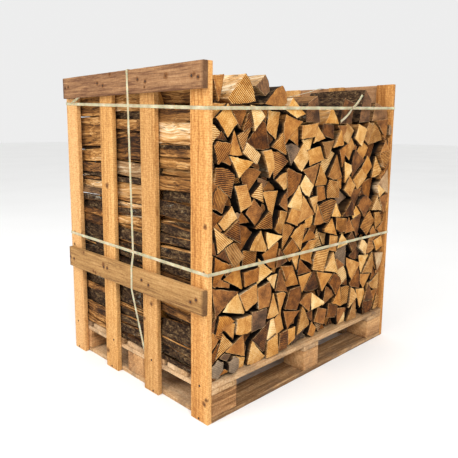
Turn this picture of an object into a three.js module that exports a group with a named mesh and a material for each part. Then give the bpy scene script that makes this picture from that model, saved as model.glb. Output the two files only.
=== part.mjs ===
// A pallet crate of split firewood: a block pallet with a slatted panel nailed to each end, three rows
// of short split logs stacked crossways on its deck, and plastic straps that hold the load.
// Millimetres. X runs along the open log face, Y from that face to the back, Z up; the origin is the
// middle of the base.
import * as THREE from 'three';

// Pallet
const PALLET_LENGTH = 1000;
const PALLET_DEPTH = 800;
const BOTTOM_BOARD_THICKNESS = 16;
const BLOCK_HEIGHT = 73;
const STRINGER_THICKNESS = 17;
const DECK_THICKNESS = 18;
const DECK_BOARDS = 7;
const BOARD_WIDTH = 100;
const BLOCK_DEPTH = 95;
const LEFT_BLOCK_WIDTH = 107;
const MIDDLE_BLOCK_WIDTH = 87;
const RIGHT_BLOCK_WIDTH = 110;

// End panels
const PANEL_HEIGHT = 1068;
const SLAT_THICKNESS = 18;
const SLAT_WIDTH = 77;
const SLAT_STARTS = [0, 245, 486, 723];
const RAIL_THICKNESS = 18;
const TOP_RAIL_HEIGHT = 75;
const MIDDLE_RAIL_HEIGHT = 77;
const MIDDLE_RAIL_BOTTOM = 348;
const RAIL_SHORTFALL = 12;

// Firewood
const LOG_LENGTH = 252;
const ROW_PITCH = 270;
const ROW_SETBACK = 3;
const BOW_STEPS = 5;
const LOAD_HALF_WIDTH = 499.5;

// Straps
const STRAP_WIDTH = 10;
const STRAP_THICKNESS = 1;
const STRAP_TOP_Y = -39;
const STRAP_SAG = 70;
const STRAP_SAG_STEPS = 12;
const UPPER_STRAP_HEIGHTS = { frontLeft: 941, frontRight: 973, rearRight: 978, rearLeft: 976 };
const LOWER_STRAP_HEIGHTS = { frontLeft: 468, frontRight: 458, rearRight: 464, rearLeft: 478 };
// Where the loop over the top crosses the lower strap, the middle rail's edges and the pallet
const STRAP_CROSSING_Y = -54;
const STRAP_CROSSING_HEIGHT = 472;
const STRAP_RAIL_TOP_Y = -43;
const STRAP_RAIL_BOTTOM_Y = -41;
const STRAP_UNDER_Y = -70;

// Touching pieces keep this much air between them
const GAP = 0.3;

const HALF_LENGTH = PALLET_LENGTH / 2;
const HALF_DEPTH = PALLET_DEPTH / 2;
const BLOCK_BOTTOM = BOTTOM_BOARD_THICKNESS + GAP;
const STRINGER_BOTTOM = BLOCK_BOTTOM + BLOCK_HEIGHT + GAP;
const DECK_BOTTOM = STRINGER_BOTTOM + STRINGER_THICKNESS + GAP;
const DECK_TOP = DECK_BOTTOM + DECK_THICKNESS;
const SLAT_INNER = HALF_LENGTH + GAP;
const SLAT_OUTER = SLAT_INNER + SLAT_THICKNESS;
const RAIL_INNER = SLAT_OUTER + GAP;
const RAIL_OUTER = RAIL_INNER + RAIL_THICKNESS;

const crate = new THREE.Group();

function finish(color, roughness) {
  return new THREE.MeshStandardMaterial({ color, roughness, metalness: 0 });
}

const palletWood = finish(0xa67c4c, 0.85);
const blockWood = finish(0xb98a58, 0.85);
const slatWood = finish(0xe0ac64, 0.8);
const railWood = finish(0xc79a6b, 0.8);
const splitWood = finish(0xc9954f, 0.85);
const barkyWood = finish(0x6b543c, 0.9);
const strapPlastic = finish(0xe0dcb6, 0.4);

function addPiece(name, geometry, material) {
  const piece = new THREE.Mesh(geometry, material);
  piece.name = name;
  crate.add(piece);
}

// A straight board or block between its low and high limits along each axis
function addBoard(name, [x0, x1], [y0, y1], [z0, z1], material) {
  const board = new THREE.BoxGeometry(x1 - x0, y1 - y0, z1 - z0);
  board.translate((x0 + x1) / 2, (y0 + y1) / 2, (z0 + z1) / 2);
  addPiece(name, board, material);
}

// The three positions of the blocks along the pallet, and the three across it
const blockColumns = {
  left: [-HALF_LENGTH, -HALF_LENGTH + LEFT_BLOCK_WIDTH],
  middle: [-MIDDLE_BLOCK_WIDTH / 2, MIDDLE_BLOCK_WIDTH / 2],
  right: [HALF_LENGTH - RIGHT_BLOCK_WIDTH, HALF_LENGTH],
};
const blockLines = {
  front: [-HALF_DEPTH, -HALF_DEPTH + BLOCK_DEPTH],
  middle: [-BLOCK_DEPTH / 2, BLOCK_DEPTH / 2],
  rear: [HALF_DEPTH - BLOCK_DEPTH, HALF_DEPTH],
};

// Perimeter base: full-length boards under the front and rear blocks, and shorter ones between them
function addBottomBoards() {
  const layer = [0, BOTTOM_BOARD_THICKNESS];
  const frontEdge = -HALF_DEPTH + BOARD_WIDTH;
  const full = [-HALF_LENGTH, HALF_LENGTH];
  addBoard('bottom_board_front', full, [-HALF_DEPTH, frontEdge], layer, palletWood);
  addBoard('bottom_board_rear', full, [-frontEdge, HALF_DEPTH], layer, palletWood);
  const between = [frontEdge + GAP, -frontEdge - GAP];
  const inner = [blockColumns.left[1] + GAP, blockColumns.right[0] - GAP];
  addBoard('bottom_board_left', blockColumns.left, between, layer, palletWood);
  addBoard('bottom_board_right', blockColumns.right, between, layer, palletWood);
  addBoard('bottom_board_middle', inner, [-BOARD_WIDTH / 2, BOARD_WIDTH / 2], layer, palletWood);
}

function addBlocksAndStringers() {
  const blockLayer = [BLOCK_BOTTOM, BLOCK_BOTTOM + BLOCK_HEIGHT];
  const stringerLayer = [STRINGER_BOTTOM, STRINGER_BOTTOM + STRINGER_THICKNESS];
  for (const [column, acrossX] of Object.entries(blockColumns)) {
    for (const [line, acrossY] of Object.entries(blockLines)) {
      addBoard(`block_${line}_${column}`, acrossX, acrossY, blockLayer, blockWood);
    }
    addBoard(`stringer_board_${column}`, acrossX, [-HALF_DEPTH, HALF_DEPTH], stringerLayer, palletWood);
  }
}

function addDeckBoards() {
  const pitch = (PALLET_DEPTH - BOARD_WIDTH) / (DECK_BOARDS - 1);
  for (let i = 0; i < DECK_BOARDS; i += 1) {
    const front = -HALF_DEPTH + i * pitch;
    const alongX = [-HALF_LENGTH, HALF_LENGTH];
    addBoard(`deck_board_${i + 1}`, alongX, [front, front + BOARD_WIDTH], [DECK_BOTTOM, DECK_TOP], palletWood);
  }
}

// Four upright slats nailed to the pallet's end, with two rails nailed across their outer faces. The
// right panel is the left one turned round. Slats are numbered from the front on both.
function addEndPanel(side) {
  const turned = ([low, high]) => (side === 'left' ? [low, high] : [-high, -low]);
  const slatX = turned([-SLAT_OUTER, -SLAT_INNER]);
  SLAT_STARTS.forEach((start, i) => {
    const slatY = turned([-HALF_DEPTH + start, -HALF_DEPTH + start + SLAT_WIDTH]);
    const number = side === 'left' ? i + 1 : SLAT_STARTS.length - i;
    addBoard(`${side}_panel_slat_${number}`, slatX, slatY, [0, PANEL_HEIGHT], slatWood);
  });
  const railX = turned([-RAIL_OUTER, -RAIL_INNER]);
  const railY = turned([-HALF_DEPTH, HALF_DEPTH - RAIL_SHORTFALL]);
  const topRail = [PANEL_HEIGHT - TOP_RAIL_HEIGHT, PANEL_HEIGHT];
  const middleRail = [MIDDLE_RAIL_BOTTOM, MIDDLE_RAIL_BOTTOM + MIDDLE_RAIL_HEIGHT];
  addBoard(`${side}_panel_top_rail`, railX, railY, topRail, railWood);
  addBoard(`${side}_panel_middle_rail`, railX, railY, middleRail, railWood);
}

// A closed outline from corners [across, up, bulge]: bulge is how far the side to the next corner bows out
function outline(corners) {
  const path = corners.map(([u, v]) => new THREE.Vector2(u, v));
  const turn = Math.sign(THREE.ShapeUtils.area(path));
  const points = [];
  corners.forEach(([u, v, bulge = 0], i) => {
    const start = new THREE.Vector2(u, v);
    const end = path[(i + 1) % path.length];
    const side = end.clone().sub(start);
    const outwards = new THREE.Vector2(side.y, -side.x).normalize().multiplyScalar(2 * bulge * turn);
    const control = start.clone().add(end).multiplyScalar(0.5).add(outwards);
    const bow = new THREE.QuadraticBezierCurve(start, control, end);
    const steps = bulge > 0 ? BOW_STEPS : 1;
    points.push(...bow.getPoints(steps).slice(0, -1));
  });
  return new THREE.Shape(points);
}

// A log lying along Y: the section's corners are [x, z, bulge]
function alongY(corners, y0, y1) {
  const solid = new THREE.ExtrudeGeometry(outline(corners), { depth: y1 - y0, bevelEnabled: false });
  solid.rotateX(Math.PI / 2);
  solid.translate(0, y1, 0);
  return solid;
}

// Front end of each row of logs
const rowStarts = {
  front: -HALF_DEPTH + ROW_SETBACK,
  middle: -HALF_DEPTH + ROW_SETBACK + ROW_PITCH,
  rear: -HALF_DEPTH + ROW_SETBACK + 2 * ROW_PITCH,
};

// Where the tips of the stacked logs reach in each row, as [x, z] from the left panel to the right one
const rowTops = {
  front: [[-470, 952], [-300, 948], [-185, 938], [-122, 914], [-60, 908], [120, 900], [260, 908], [499.5, 924]],
  middle: [[-499.5, 940], [-290, 930], [-180, 922], [-80, 924], [60, 916], [240, 930], [420, 918], [499.5, 930]],
  rear: [[-499.5, 926], [-300, 920], [-190, 912], [-60, 930], [90, 914], [220, 934], [360, 922], [499.5, 936]],
};

// The three rows: plain solids that the stacked logs fill, up to the tips of the top ones
function addStackRows() {
  for (const [row, tops] of Object.entries(rowTops)) {
    const floor = DECK_TOP + GAP;
    const corners = [
      [-LOAD_HALF_WIDTH, floor],
      [-LOAD_HALF_WIDTH, tops[0][1]],
      ...tops.filter(([x]) => Math.abs(x) < LOAD_HALF_WIDTH),
      [LOAD_HALF_WIDTH, tops[tops.length - 1][1]],
      [LOAD_HALF_WIDTH, floor],
    ];
    addPiece(`firewood_row_${row}`, alongY(corners, rowStarts[row], rowStarts[row] + LOG_LENGTH), splitWood);
  }
}

// The logs on top of each row, which lie loose between the panels' upper ends. setBack is how far the
// log's end stands behind the front of its row.
const topLogs = {
  front: [
    { setBack: 3, section: [[-498, 1030], [-453, 1036, 2], [-470, 958]] },
    { setBack: 0, section: [[-366, 1046, 8], [-325, 966, 3], [-420, 955], [-438, 972]] },
    { setBack: 8, section: [[-272, 1050, 6], [-252, 1000], [-270, 984], [-314, 1012]] },
    { setBack: 2, section: [[-280, 962], [-222, 1012], [-191, 1021, 5], [-170, 972], [-190, 953, 4]] },
    { setBack: 0, section: [[-178, 946], [-143, 986], [-73, 935], [-122, 921, 2]] },
    { setBack: 12, barky: true, section: [[-52, 910, 8], [-42, 976], [4, 1000], [26, 907]] },
    { setBack: 14, section: [[58, 905], [98, 964, 5], [148, 904]] },
    { setBack: 15, barky: true, section: [[156, 904, 8], [176, 1000], [246, 984], [236, 909]] },
    { setBack: 6, barky: true, section: [[270, 911, 8], [301, 1036], [354, 1000], [346, 916]] },
    { setBack: 12, section: [[372, 918], [394, 992], [478, 972, 6], [492, 926]] },
  ],
  middle: [
    { setBack: 2, barky: true, section: [[-497, 943], [-496, 1000, 6], [-450, 1018, 9], [-402, 944]] },
    { setBack: 5, section: [[-392, 942], [-352, 1012], [-300, 990, 5], [-296, 938]] },
    { setBack: 0, section: [[-284, 937], [-246, 1004, 7], [-196, 929]] },
    { setBack: 6, barky: true, section: [[-62, 927, 9], [-44, 992], [28, 980, 4], [34, 926]] },
  ],
  rear: [
    { setBack: 0, section: [[-497, 929], [-494, 1016, 6], [-440, 1010, 8], [-404, 929]] },
    { setBack: 4, barky: true, section: [[-396, 928, 6], [-370, 992], [-318, 968], [-306, 924]] },
    { setBack: 2, section: [[-294, 925], [-250, 985, 6], [-204, 920]] },
    { setBack: 3, barky: true, section: [[205, 938, 9], [232, 1010], [300, 976], [296, 934]] },
  ],
};

function addTopLogs() {
  for (const [row, logs] of Object.entries(topLogs)) {
    logs.forEach(({ setBack, barky, section }, i) => {
      const start = rowStarts[row] + setBack;
      const wood = barky ? barkyWood : splitWood;
      addPiece(`top_log_${row}_${i + 1}`, alongY(section, start, start + LOG_LENGTH), wood);
    });
  }
}

// A closed loop of flat strap: its inner face follows the corners, and its width lies along one axis
function strapLoop(corners, widthAxis) {
  const axes = ['x', 'y', 'z'].filter((axis) => axis !== widthAxis);
  const flat = corners.map((corner) => new THREE.Vector2(corner[axes[0]], corner[axes[1]]));
  const turn = Math.sign(THREE.ShapeUtils.area(flat));
  const outwards = (from, to) => {
    const side = to.clone().sub(from).normalize();
    return new THREE.Vector2(side.y, -side.x).multiplyScalar(turn);
  };
  const rings = corners.map((corner, i) => {
    const last = flat[(i + flat.length - 1) % flat.length];
    const next = flat[(i + 1) % flat.length];
    const before = outwards(last, flat[i]);
    const after = outwards(flat[i], next);
    const miter = before.clone().add(after).multiplyScalar(1 / (1 + before.dot(after)));
    const place = (depth, across) => {
      const point = corner.clone();
      point[axes[0]] += miter.x * depth;
      point[axes[1]] += miter.y * depth;
      point[widthAxis] += across;
      return point;
    };
    const half = STRAP_WIDTH / 2;
    return [place(0, -half), place(STRAP_THICKNESS, -half), place(STRAP_THICKNESS, half), place(0, half)];
  });
  const positions = rings.flat().flatMap((point) => point.toArray());
  const faces = [];
  rings.forEach((ring, i) => {
    const here = i * 4;
    const there = ((i + 1) % rings.length) * 4;
    for (let k = 0; k < 4; k += 1) {
      const m = (k + 1) % 4;
      faces.push([here + k, there + k, there + m], [here + k, there + m, here + m]);
    }
  });
  // Seen with the width axis up, a loop in the XZ plane turns the other way from one in XY
  const facesOut = turn * (widthAxis === 'y' ? -1 : 1) > 0;
  const geometry = new THREE.BufferGeometry();
  geometry.setAttribute('position', new THREE.Float32BufferAttribute(positions, 3));
  geometry.setIndex(faces.flatMap((face) => (facesOut ? face : [...face].reverse())));
  geometry.computeVertexNormals();
  return geometry;
}

// The loops round the load run outside the slats; heights are given at the panels' four corners
function addLevelStrap(name, heights) {
  const x = SLAT_OUTER + GAP;
  const y = HALF_DEPTH + GAP;
  const corners = [
    new THREE.Vector3(-x, -y, heights.frontLeft),
    new THREE.Vector3(x, -y, heights.frontRight),
    new THREE.Vector3(x, y, heights.rearRight),
    new THREE.Vector3(-x, y, heights.rearLeft),
  ];
  addPiece(name, strapLoop(corners, 'z'), strapPlastic);
}

// The loop over the top sags between the panels, hangs outside the rails, crosses the lower strap, and
// runs in under the pallet's stringer boards
function addOverTopStrap() {
  const top = PANEL_HEIGHT + GAP;
  const railX = RAIL_OUTER + GAP;
  const underX = HALF_LENGTH + GAP;
  const underZ = STRINGER_BOTTOM - GAP;
  const corner = (x, y, z) => new THREE.Vector3(x, y, z);
  const hanging = [
    [STRAP_TOP_Y, top],
    [STRAP_CROSSING_Y, STRAP_CROSSING_HEIGHT],
    [STRAP_RAIL_TOP_Y, MIDDLE_RAIL_BOTTOM + MIDDLE_RAIL_HEIGHT],
    [STRAP_RAIL_BOTTOM_Y, MIDDLE_RAIL_BOTTOM],
  ];
  const sagging = [];
  for (let i = 0; i <= STRAP_SAG_STEPS; i += 1) {
    const share = 1 - (2 * i) / STRAP_SAG_STEPS;
    const z = top - STRAP_SAG * (1 - share * share);
    sagging.push(corner(share * SLAT_INNER, STRAP_TOP_Y, z));
  }
  const corners = [
    ...hanging.map(([y, z]) => corner(-railX, y, z)),
    corner(-underX, STRAP_UNDER_Y, underZ),
    corner(underX, STRAP_UNDER_Y, underZ),
    ...[...hanging].reverse().map(([y, z]) => corner(railX, y, z)),
    ...sagging,
  ];
  addPiece('strap_over_top', strapLoop(corners, 'y'), strapPlastic);
}

addBottomBoards();
addBlocksAndStringers();
addDeckBoards();
addEndPanel('left');
addEndPanel('right');
addStackRows();
addTopLogs();
addLevelStrap('strap_upper', UPPER_STRAP_HEIGHTS);
addLevelStrap('strap_lower', LOWER_STRAP_HEIGHTS);
addOverTopStrap();

export default crate;
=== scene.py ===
"""A pallet crate of split firewood: sawn boards, stacked split logs, nails and plastic straps.

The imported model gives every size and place. Boards and straps are rebuilt with their sawn or moulded
surface, and each firewood row is rebuilt as the separate split logs that fill it.
"""

from __future__ import annotations

import logging
import math
from dataclasses import dataclass, field
from enum import Enum

import bpy
import numpy as np
from mathutils import Matrix, Vector


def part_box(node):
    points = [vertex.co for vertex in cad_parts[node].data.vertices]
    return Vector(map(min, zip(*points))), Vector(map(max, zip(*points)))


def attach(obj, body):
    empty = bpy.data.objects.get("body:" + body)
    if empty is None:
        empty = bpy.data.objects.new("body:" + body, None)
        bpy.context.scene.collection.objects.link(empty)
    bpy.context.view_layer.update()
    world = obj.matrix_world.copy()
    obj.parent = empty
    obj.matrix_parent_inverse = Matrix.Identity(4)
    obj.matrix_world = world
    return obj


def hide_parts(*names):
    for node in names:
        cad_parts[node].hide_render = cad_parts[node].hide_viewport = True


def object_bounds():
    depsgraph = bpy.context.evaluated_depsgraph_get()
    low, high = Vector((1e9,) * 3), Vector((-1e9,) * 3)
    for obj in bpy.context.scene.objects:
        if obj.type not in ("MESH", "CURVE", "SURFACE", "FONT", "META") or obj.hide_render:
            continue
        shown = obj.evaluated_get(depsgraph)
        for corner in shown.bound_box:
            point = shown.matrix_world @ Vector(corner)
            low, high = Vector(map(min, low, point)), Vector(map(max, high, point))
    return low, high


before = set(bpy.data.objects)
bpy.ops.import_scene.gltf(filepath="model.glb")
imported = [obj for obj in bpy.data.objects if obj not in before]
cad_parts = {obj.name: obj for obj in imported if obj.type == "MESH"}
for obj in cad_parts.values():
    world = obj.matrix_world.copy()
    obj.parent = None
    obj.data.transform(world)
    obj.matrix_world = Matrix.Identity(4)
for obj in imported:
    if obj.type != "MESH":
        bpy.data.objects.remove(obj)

MM = 0.001
LOG = logging.getLogger("firewood_crate")
Socket = bpy.types.NodeSocket
CAD_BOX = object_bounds()


# ---------------------------------------------------------------------------------------------------
# Small tools
# ---------------------------------------------------------------------------------------------------


def linear(hex_colour: str) -> tuple[float, float, float, float]:
    """Turn an sRGB hex colour into linear RGBA.

    Args:
        hex_colour: six hex digits, with or without a leading hash.

    Returns:
        Red, green, blue and an alpha of 1, in linear light.
    """
    digits = hex_colour.lstrip("#")
    channels = [int(digits[i : i + 2], 16) / 255 for i in (0, 2, 4)]
    lit = [c / 12.92 if c <= 0.04045 else ((c + 0.055) / 1.055) ** 2.4 for c in channels]
    return (lit[0], lit[1], lit[2], 1.0)


def add_node(
    tree: bpy.types.NodeTree, kind: str, settings: dict | None = None, links: dict | None = None
) -> bpy.types.Node:
    """Add one shader node.

    Args:
        tree: the node tree that gets the node.
        kind: the node's Blender type name, without its "ShaderNode" prefix.
        settings: property names, or input names and numbers, with the value of each.
        links: input names or numbers, with the output socket that feeds each.

    Returns:
        The new node.
    """
    node = tree.nodes.new("ShaderNode" + kind)
    for key, value in (settings or {}).items():
        if isinstance(key, str) and key in node.bl_rna.properties:
            setattr(node, key, value)
        else:
            node.inputs[key].default_value = value
    for key, socket in (links or {}).items():
        tree.links.new(socket, node.inputs[key])
    return node


class Shading:
    """A new material, with one short call for each kind of node that the finishes share."""

    def __init__(self, name: str) -> None:
        """Start an empty node material that has only a Principled shader."""
        self.material = bpy.data.materials.new(name)
        self.material.use_nodes = True
        self.tree = self.material.node_tree
        self.tree.nodes.clear()
        self.shader = add_node(self.tree, "BsdfPrincipled")
        add_node(self.tree, "OutputMaterial", links={"Surface": self.shader.outputs["BSDF"]})

    def object_place(self) -> Socket:
        """Give the object's own coordinates."""
        return add_node(self.tree, "TexCoord").outputs["Object"]

    def stored(self, name: str) -> Socket:
        """Give the vector that the points carry under a name."""
        return add_node(self.tree, "Attribute", {"attribute_name": name}).outputs["Vector"]

    def parts(self, vector: Socket) -> list[Socket]:
        """Give a vector's three numbers."""
        return list(add_node(self.tree, "SeparateXYZ", links={0: vector}).outputs)

    def mapped(self, place: Socket, scale: tuple, location: tuple = (0.0, 0.0, 0.0)) -> Socket:
        """Stretch and shift a place."""
        settings = {"Location": location, "Scale": scale}
        return add_node(self.tree, "Mapping", settings, {0: place}).outputs["Vector"]

    def moved(self, place: Socket, seed: Socket) -> Socket:
        """Shift a place by a log's own seed, so that no two logs look alike."""
        shift = add_node(self.tree, "CombineXYZ", links={0: seed, 1: seed, 2: seed}).outputs[0]
        return self.maths("ADD", place, shift, kind="VectorMath")

    def noise(
        self,
        place: Socket,
        scale: float,
        detail: float = 2.0,
        roughness: float = 0.5,
        distortion: float = 0.0,
        output: str = "Fac",
    ) -> Socket:
        """Add a noise pattern.

        Args:
            place: where to read the pattern.
            scale: how many lumps there are in a metre.
            detail: how many finer patterns are laid on it.
            roughness: how strong those are.
            distortion: how much the pattern is bent.
            output: "Fac" for one number, or "Color" for three.

        Returns:
            The pattern's socket.
        """
        settings = {"Scale": scale, "Detail": detail, "Roughness": roughness, "Distortion": distortion}
        return add_node(self.tree, "TexNoise", settings, {"Vector": place}).outputs[output]

    def maths(self, operation: str, *terms: float | tuple | Socket, kind: str = "Math") -> Socket:
        """Add a sum.

        Args:
            operation: the node's operation.
            terms: its terms, in order: numbers, vectors or sockets.
            kind: "Math" for numbers or "VectorMath" for vectors.

        Returns:
            The result's socket.
        """
        links = {i: term for i, term in enumerate(terms) if isinstance(term, Socket)}
        fixed = {i: term for i, term in enumerate(terms) if i not in links}
        node = add_node(self.tree, kind, {"operation": operation} | fixed, links)
        return node.outputs["Value" if operation in ("LENGTH", "DISTANCE") else 0]

    def stripes(self, place: Socket, pitch: float) -> Socket:
        """Give even stripes along a number: a sine that comes round once in each pitch."""
        return self.maths("SINE", self.maths("MULTIPLY", place, 2 * math.pi / pitch))

    def remap(
        self, value: Socket, low: float, high: float, to_low: float = 0.0, to_high: float = 1.0
    ) -> Socket:
        """Turn the range from low to high into the range from to_low to to_high, and stop at its ends."""
        settings = {"From Min": low, "From Max": high, "To Min": to_low, "To Max": to_high}
        return add_node(self.tree, "MapRange", settings, {0: value}).outputs["Result"]

    def ramp(self, stops: list[tuple[float, str]], factor: Socket) -> Socket:
        """Blend named colours along a factor.

        Args:
            stops: the place and sRGB hex colour of each stop.
            factor: the socket that picks the colour.

        Returns:
            The ramp's colour socket.
        """
        node = add_node(self.tree, "ValToRGB", links={"Fac": factor})
        elements = node.color_ramp.elements
        while len(elements) < len(stops):
            elements.new(1.0)
        for element, (place, colour) in zip(elements, stops):
            element.position = place
            element.color = linear(colour)
        return node.outputs["Color"]

    def mix(self, factor: Socket, first: Socket, second: Socket | str, blend: str = "MIX") -> Socket:
        """Lay one colour over another.

        Args:
            factor: how much of the second colour shows.
            first: the colour underneath.
            second: the colour on top, as a socket or an sRGB hex colour.
            blend: the way they blend.

        Returns:
            The mixed colour's socket.
        """
        settings, links = {"data_type": "RGBA", "blend_type": blend}, {"Factor": factor, 6: first}
        if isinstance(second, str):
            settings[7] = linear(second)
        else:
            links[7] = second
        return add_node(self.tree, "Mix", settings, links).outputs[2]

    def finish(
        self,
        colour: Socket,
        inputs: dict[str, float],
        height: Socket | None = None,
        strength: float = 1.0,
        depth: float = 0.0,
    ) -> bpy.types.Material:
        """Link the colour and the relief to the shader.

        Args:
            colour: the base colour.
            inputs: the shader's other inputs, with the value of each.
            height: the relief, if there is any.
            strength: how strongly the relief shows.
            depth: how deep the relief is, in metres.

        Returns:
            The material.
        """
        self.tree.links.new(colour, self.shader.inputs["Base Color"])
        if height is not None:
            bump = add_node(self.tree, "Bump", {"Strength": strength, "Distance": depth}, {"Height": height})
            self.tree.links.new(bump.outputs["Normal"], self.shader.inputs["Normal"])
        for label, value in inputs.items():
            self.shader.inputs[label].default_value = value
        return self.material


def make_object(
    name: str,
    points: np.ndarray,
    faces: list[tuple[int, ...]],
    materials: list[bpy.types.Material],
    face_materials: np.ndarray | None = None,
    attributes: dict[str, np.ndarray] | None = None,
    sharp_angle: float = math.radians(38),
) -> bpy.types.Object:
    """Make a mesh object, smooth except where its faces meet at more than the sharp angle.

    Args:
        name: the piece's name.
        points: one row of x, y, z for each point, in metres.
        faces: the point numbers of each face, turning anticlockwise seen from outside.
        materials: the object's materials.
        face_materials: the material number of each face.
        attributes: point attributes, either numbers or vectors, by name.
        sharp_angle: the least angle that shows as an edge, in radians.

    Returns:
        The new object, linked to the scene.
    """
    mesh = bpy.data.meshes.new(name)
    mesh.from_pydata(points.tolist(), [], faces)
    for material in materials:
        mesh.materials.append(material)
    if face_materials is not None:
        mesh.polygons.foreach_set("material_index", face_materials.astype(np.int32))
    for label, values in (attributes or {}).items():
        if values.ndim == 1:
            mesh.attributes.new(label, "FLOAT", "POINT").data.foreach_set("value", values.astype(np.float32))
        else:
            layer = mesh.attributes.new(label, "FLOAT_VECTOR", "POINT")
            layer.data.foreach_set("vector", values.astype(np.float32).ravel())
    mesh.shade_smooth()
    mesh.set_sharp_from_angle(angle=sharp_angle)
    mesh.update()
    piece = bpy.data.objects.new(name, mesh)
    bpy.context.scene.collection.objects.link(piece)
    return piece


def hand_over(piece: bpy.types.Object, slot: str, *nodes: str) -> bpy.types.Object:
    """Hide the CAD solids that a piece stands for, and put the piece on the crate's one body.

    Args:
        piece: the piece.
        slot: a material slot name; not used.
        nodes: the CAD solids that it stands for, if any.

    Returns:
        The piece, which rides on the crate's one body.
    """
    if nodes:
        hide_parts(*nodes)
    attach(piece, "root")
    return piece


def sweep_faces(count: int, rings: int, ends: bool = True) -> list[tuple[int, ...]]:
    """List the faces of a swept solid.

    Args:
        count: how many points each ring has.
        rings: how many rings there are.
        ends: whether the first and last rings are closed by a face.

    Returns:
        The faces, as point numbers.
    """
    faces: list[tuple[int, ...]] = []
    for base in range(0, (rings - 1) * count, count):
        for k in range(count):
            following = (k + 1) % count
            faces.append((base + k, base + following, base + count + following, base + count + k))
    if ends:
        faces.append(tuple(reversed(range(count))))
        faces.append(tuple(range((rings - 1) * count, rings * count)))
    return faces


def node_points(node: str) -> np.ndarray:
    """Give the corner points of a CAD node, in metres, without repeats."""
    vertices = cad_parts[node].data.vertices
    points = np.array([v.co for v in vertices], float)
    return np.unique(points.round(6), axis=0)


# ---------------------------------------------------------------------------------------------------
# Finishes
# ---------------------------------------------------------------------------------------------------


class Axis(Enum):
    """The direction that a board's grain runs in."""

    X = 0
    Y = 1
    Z = 2


@dataclass(frozen=True)
class Knot:
    """A branch knot in a board: its centre and radius, in metres."""

    x: float
    y: float
    z: float
    radius: float = 0.012


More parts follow.
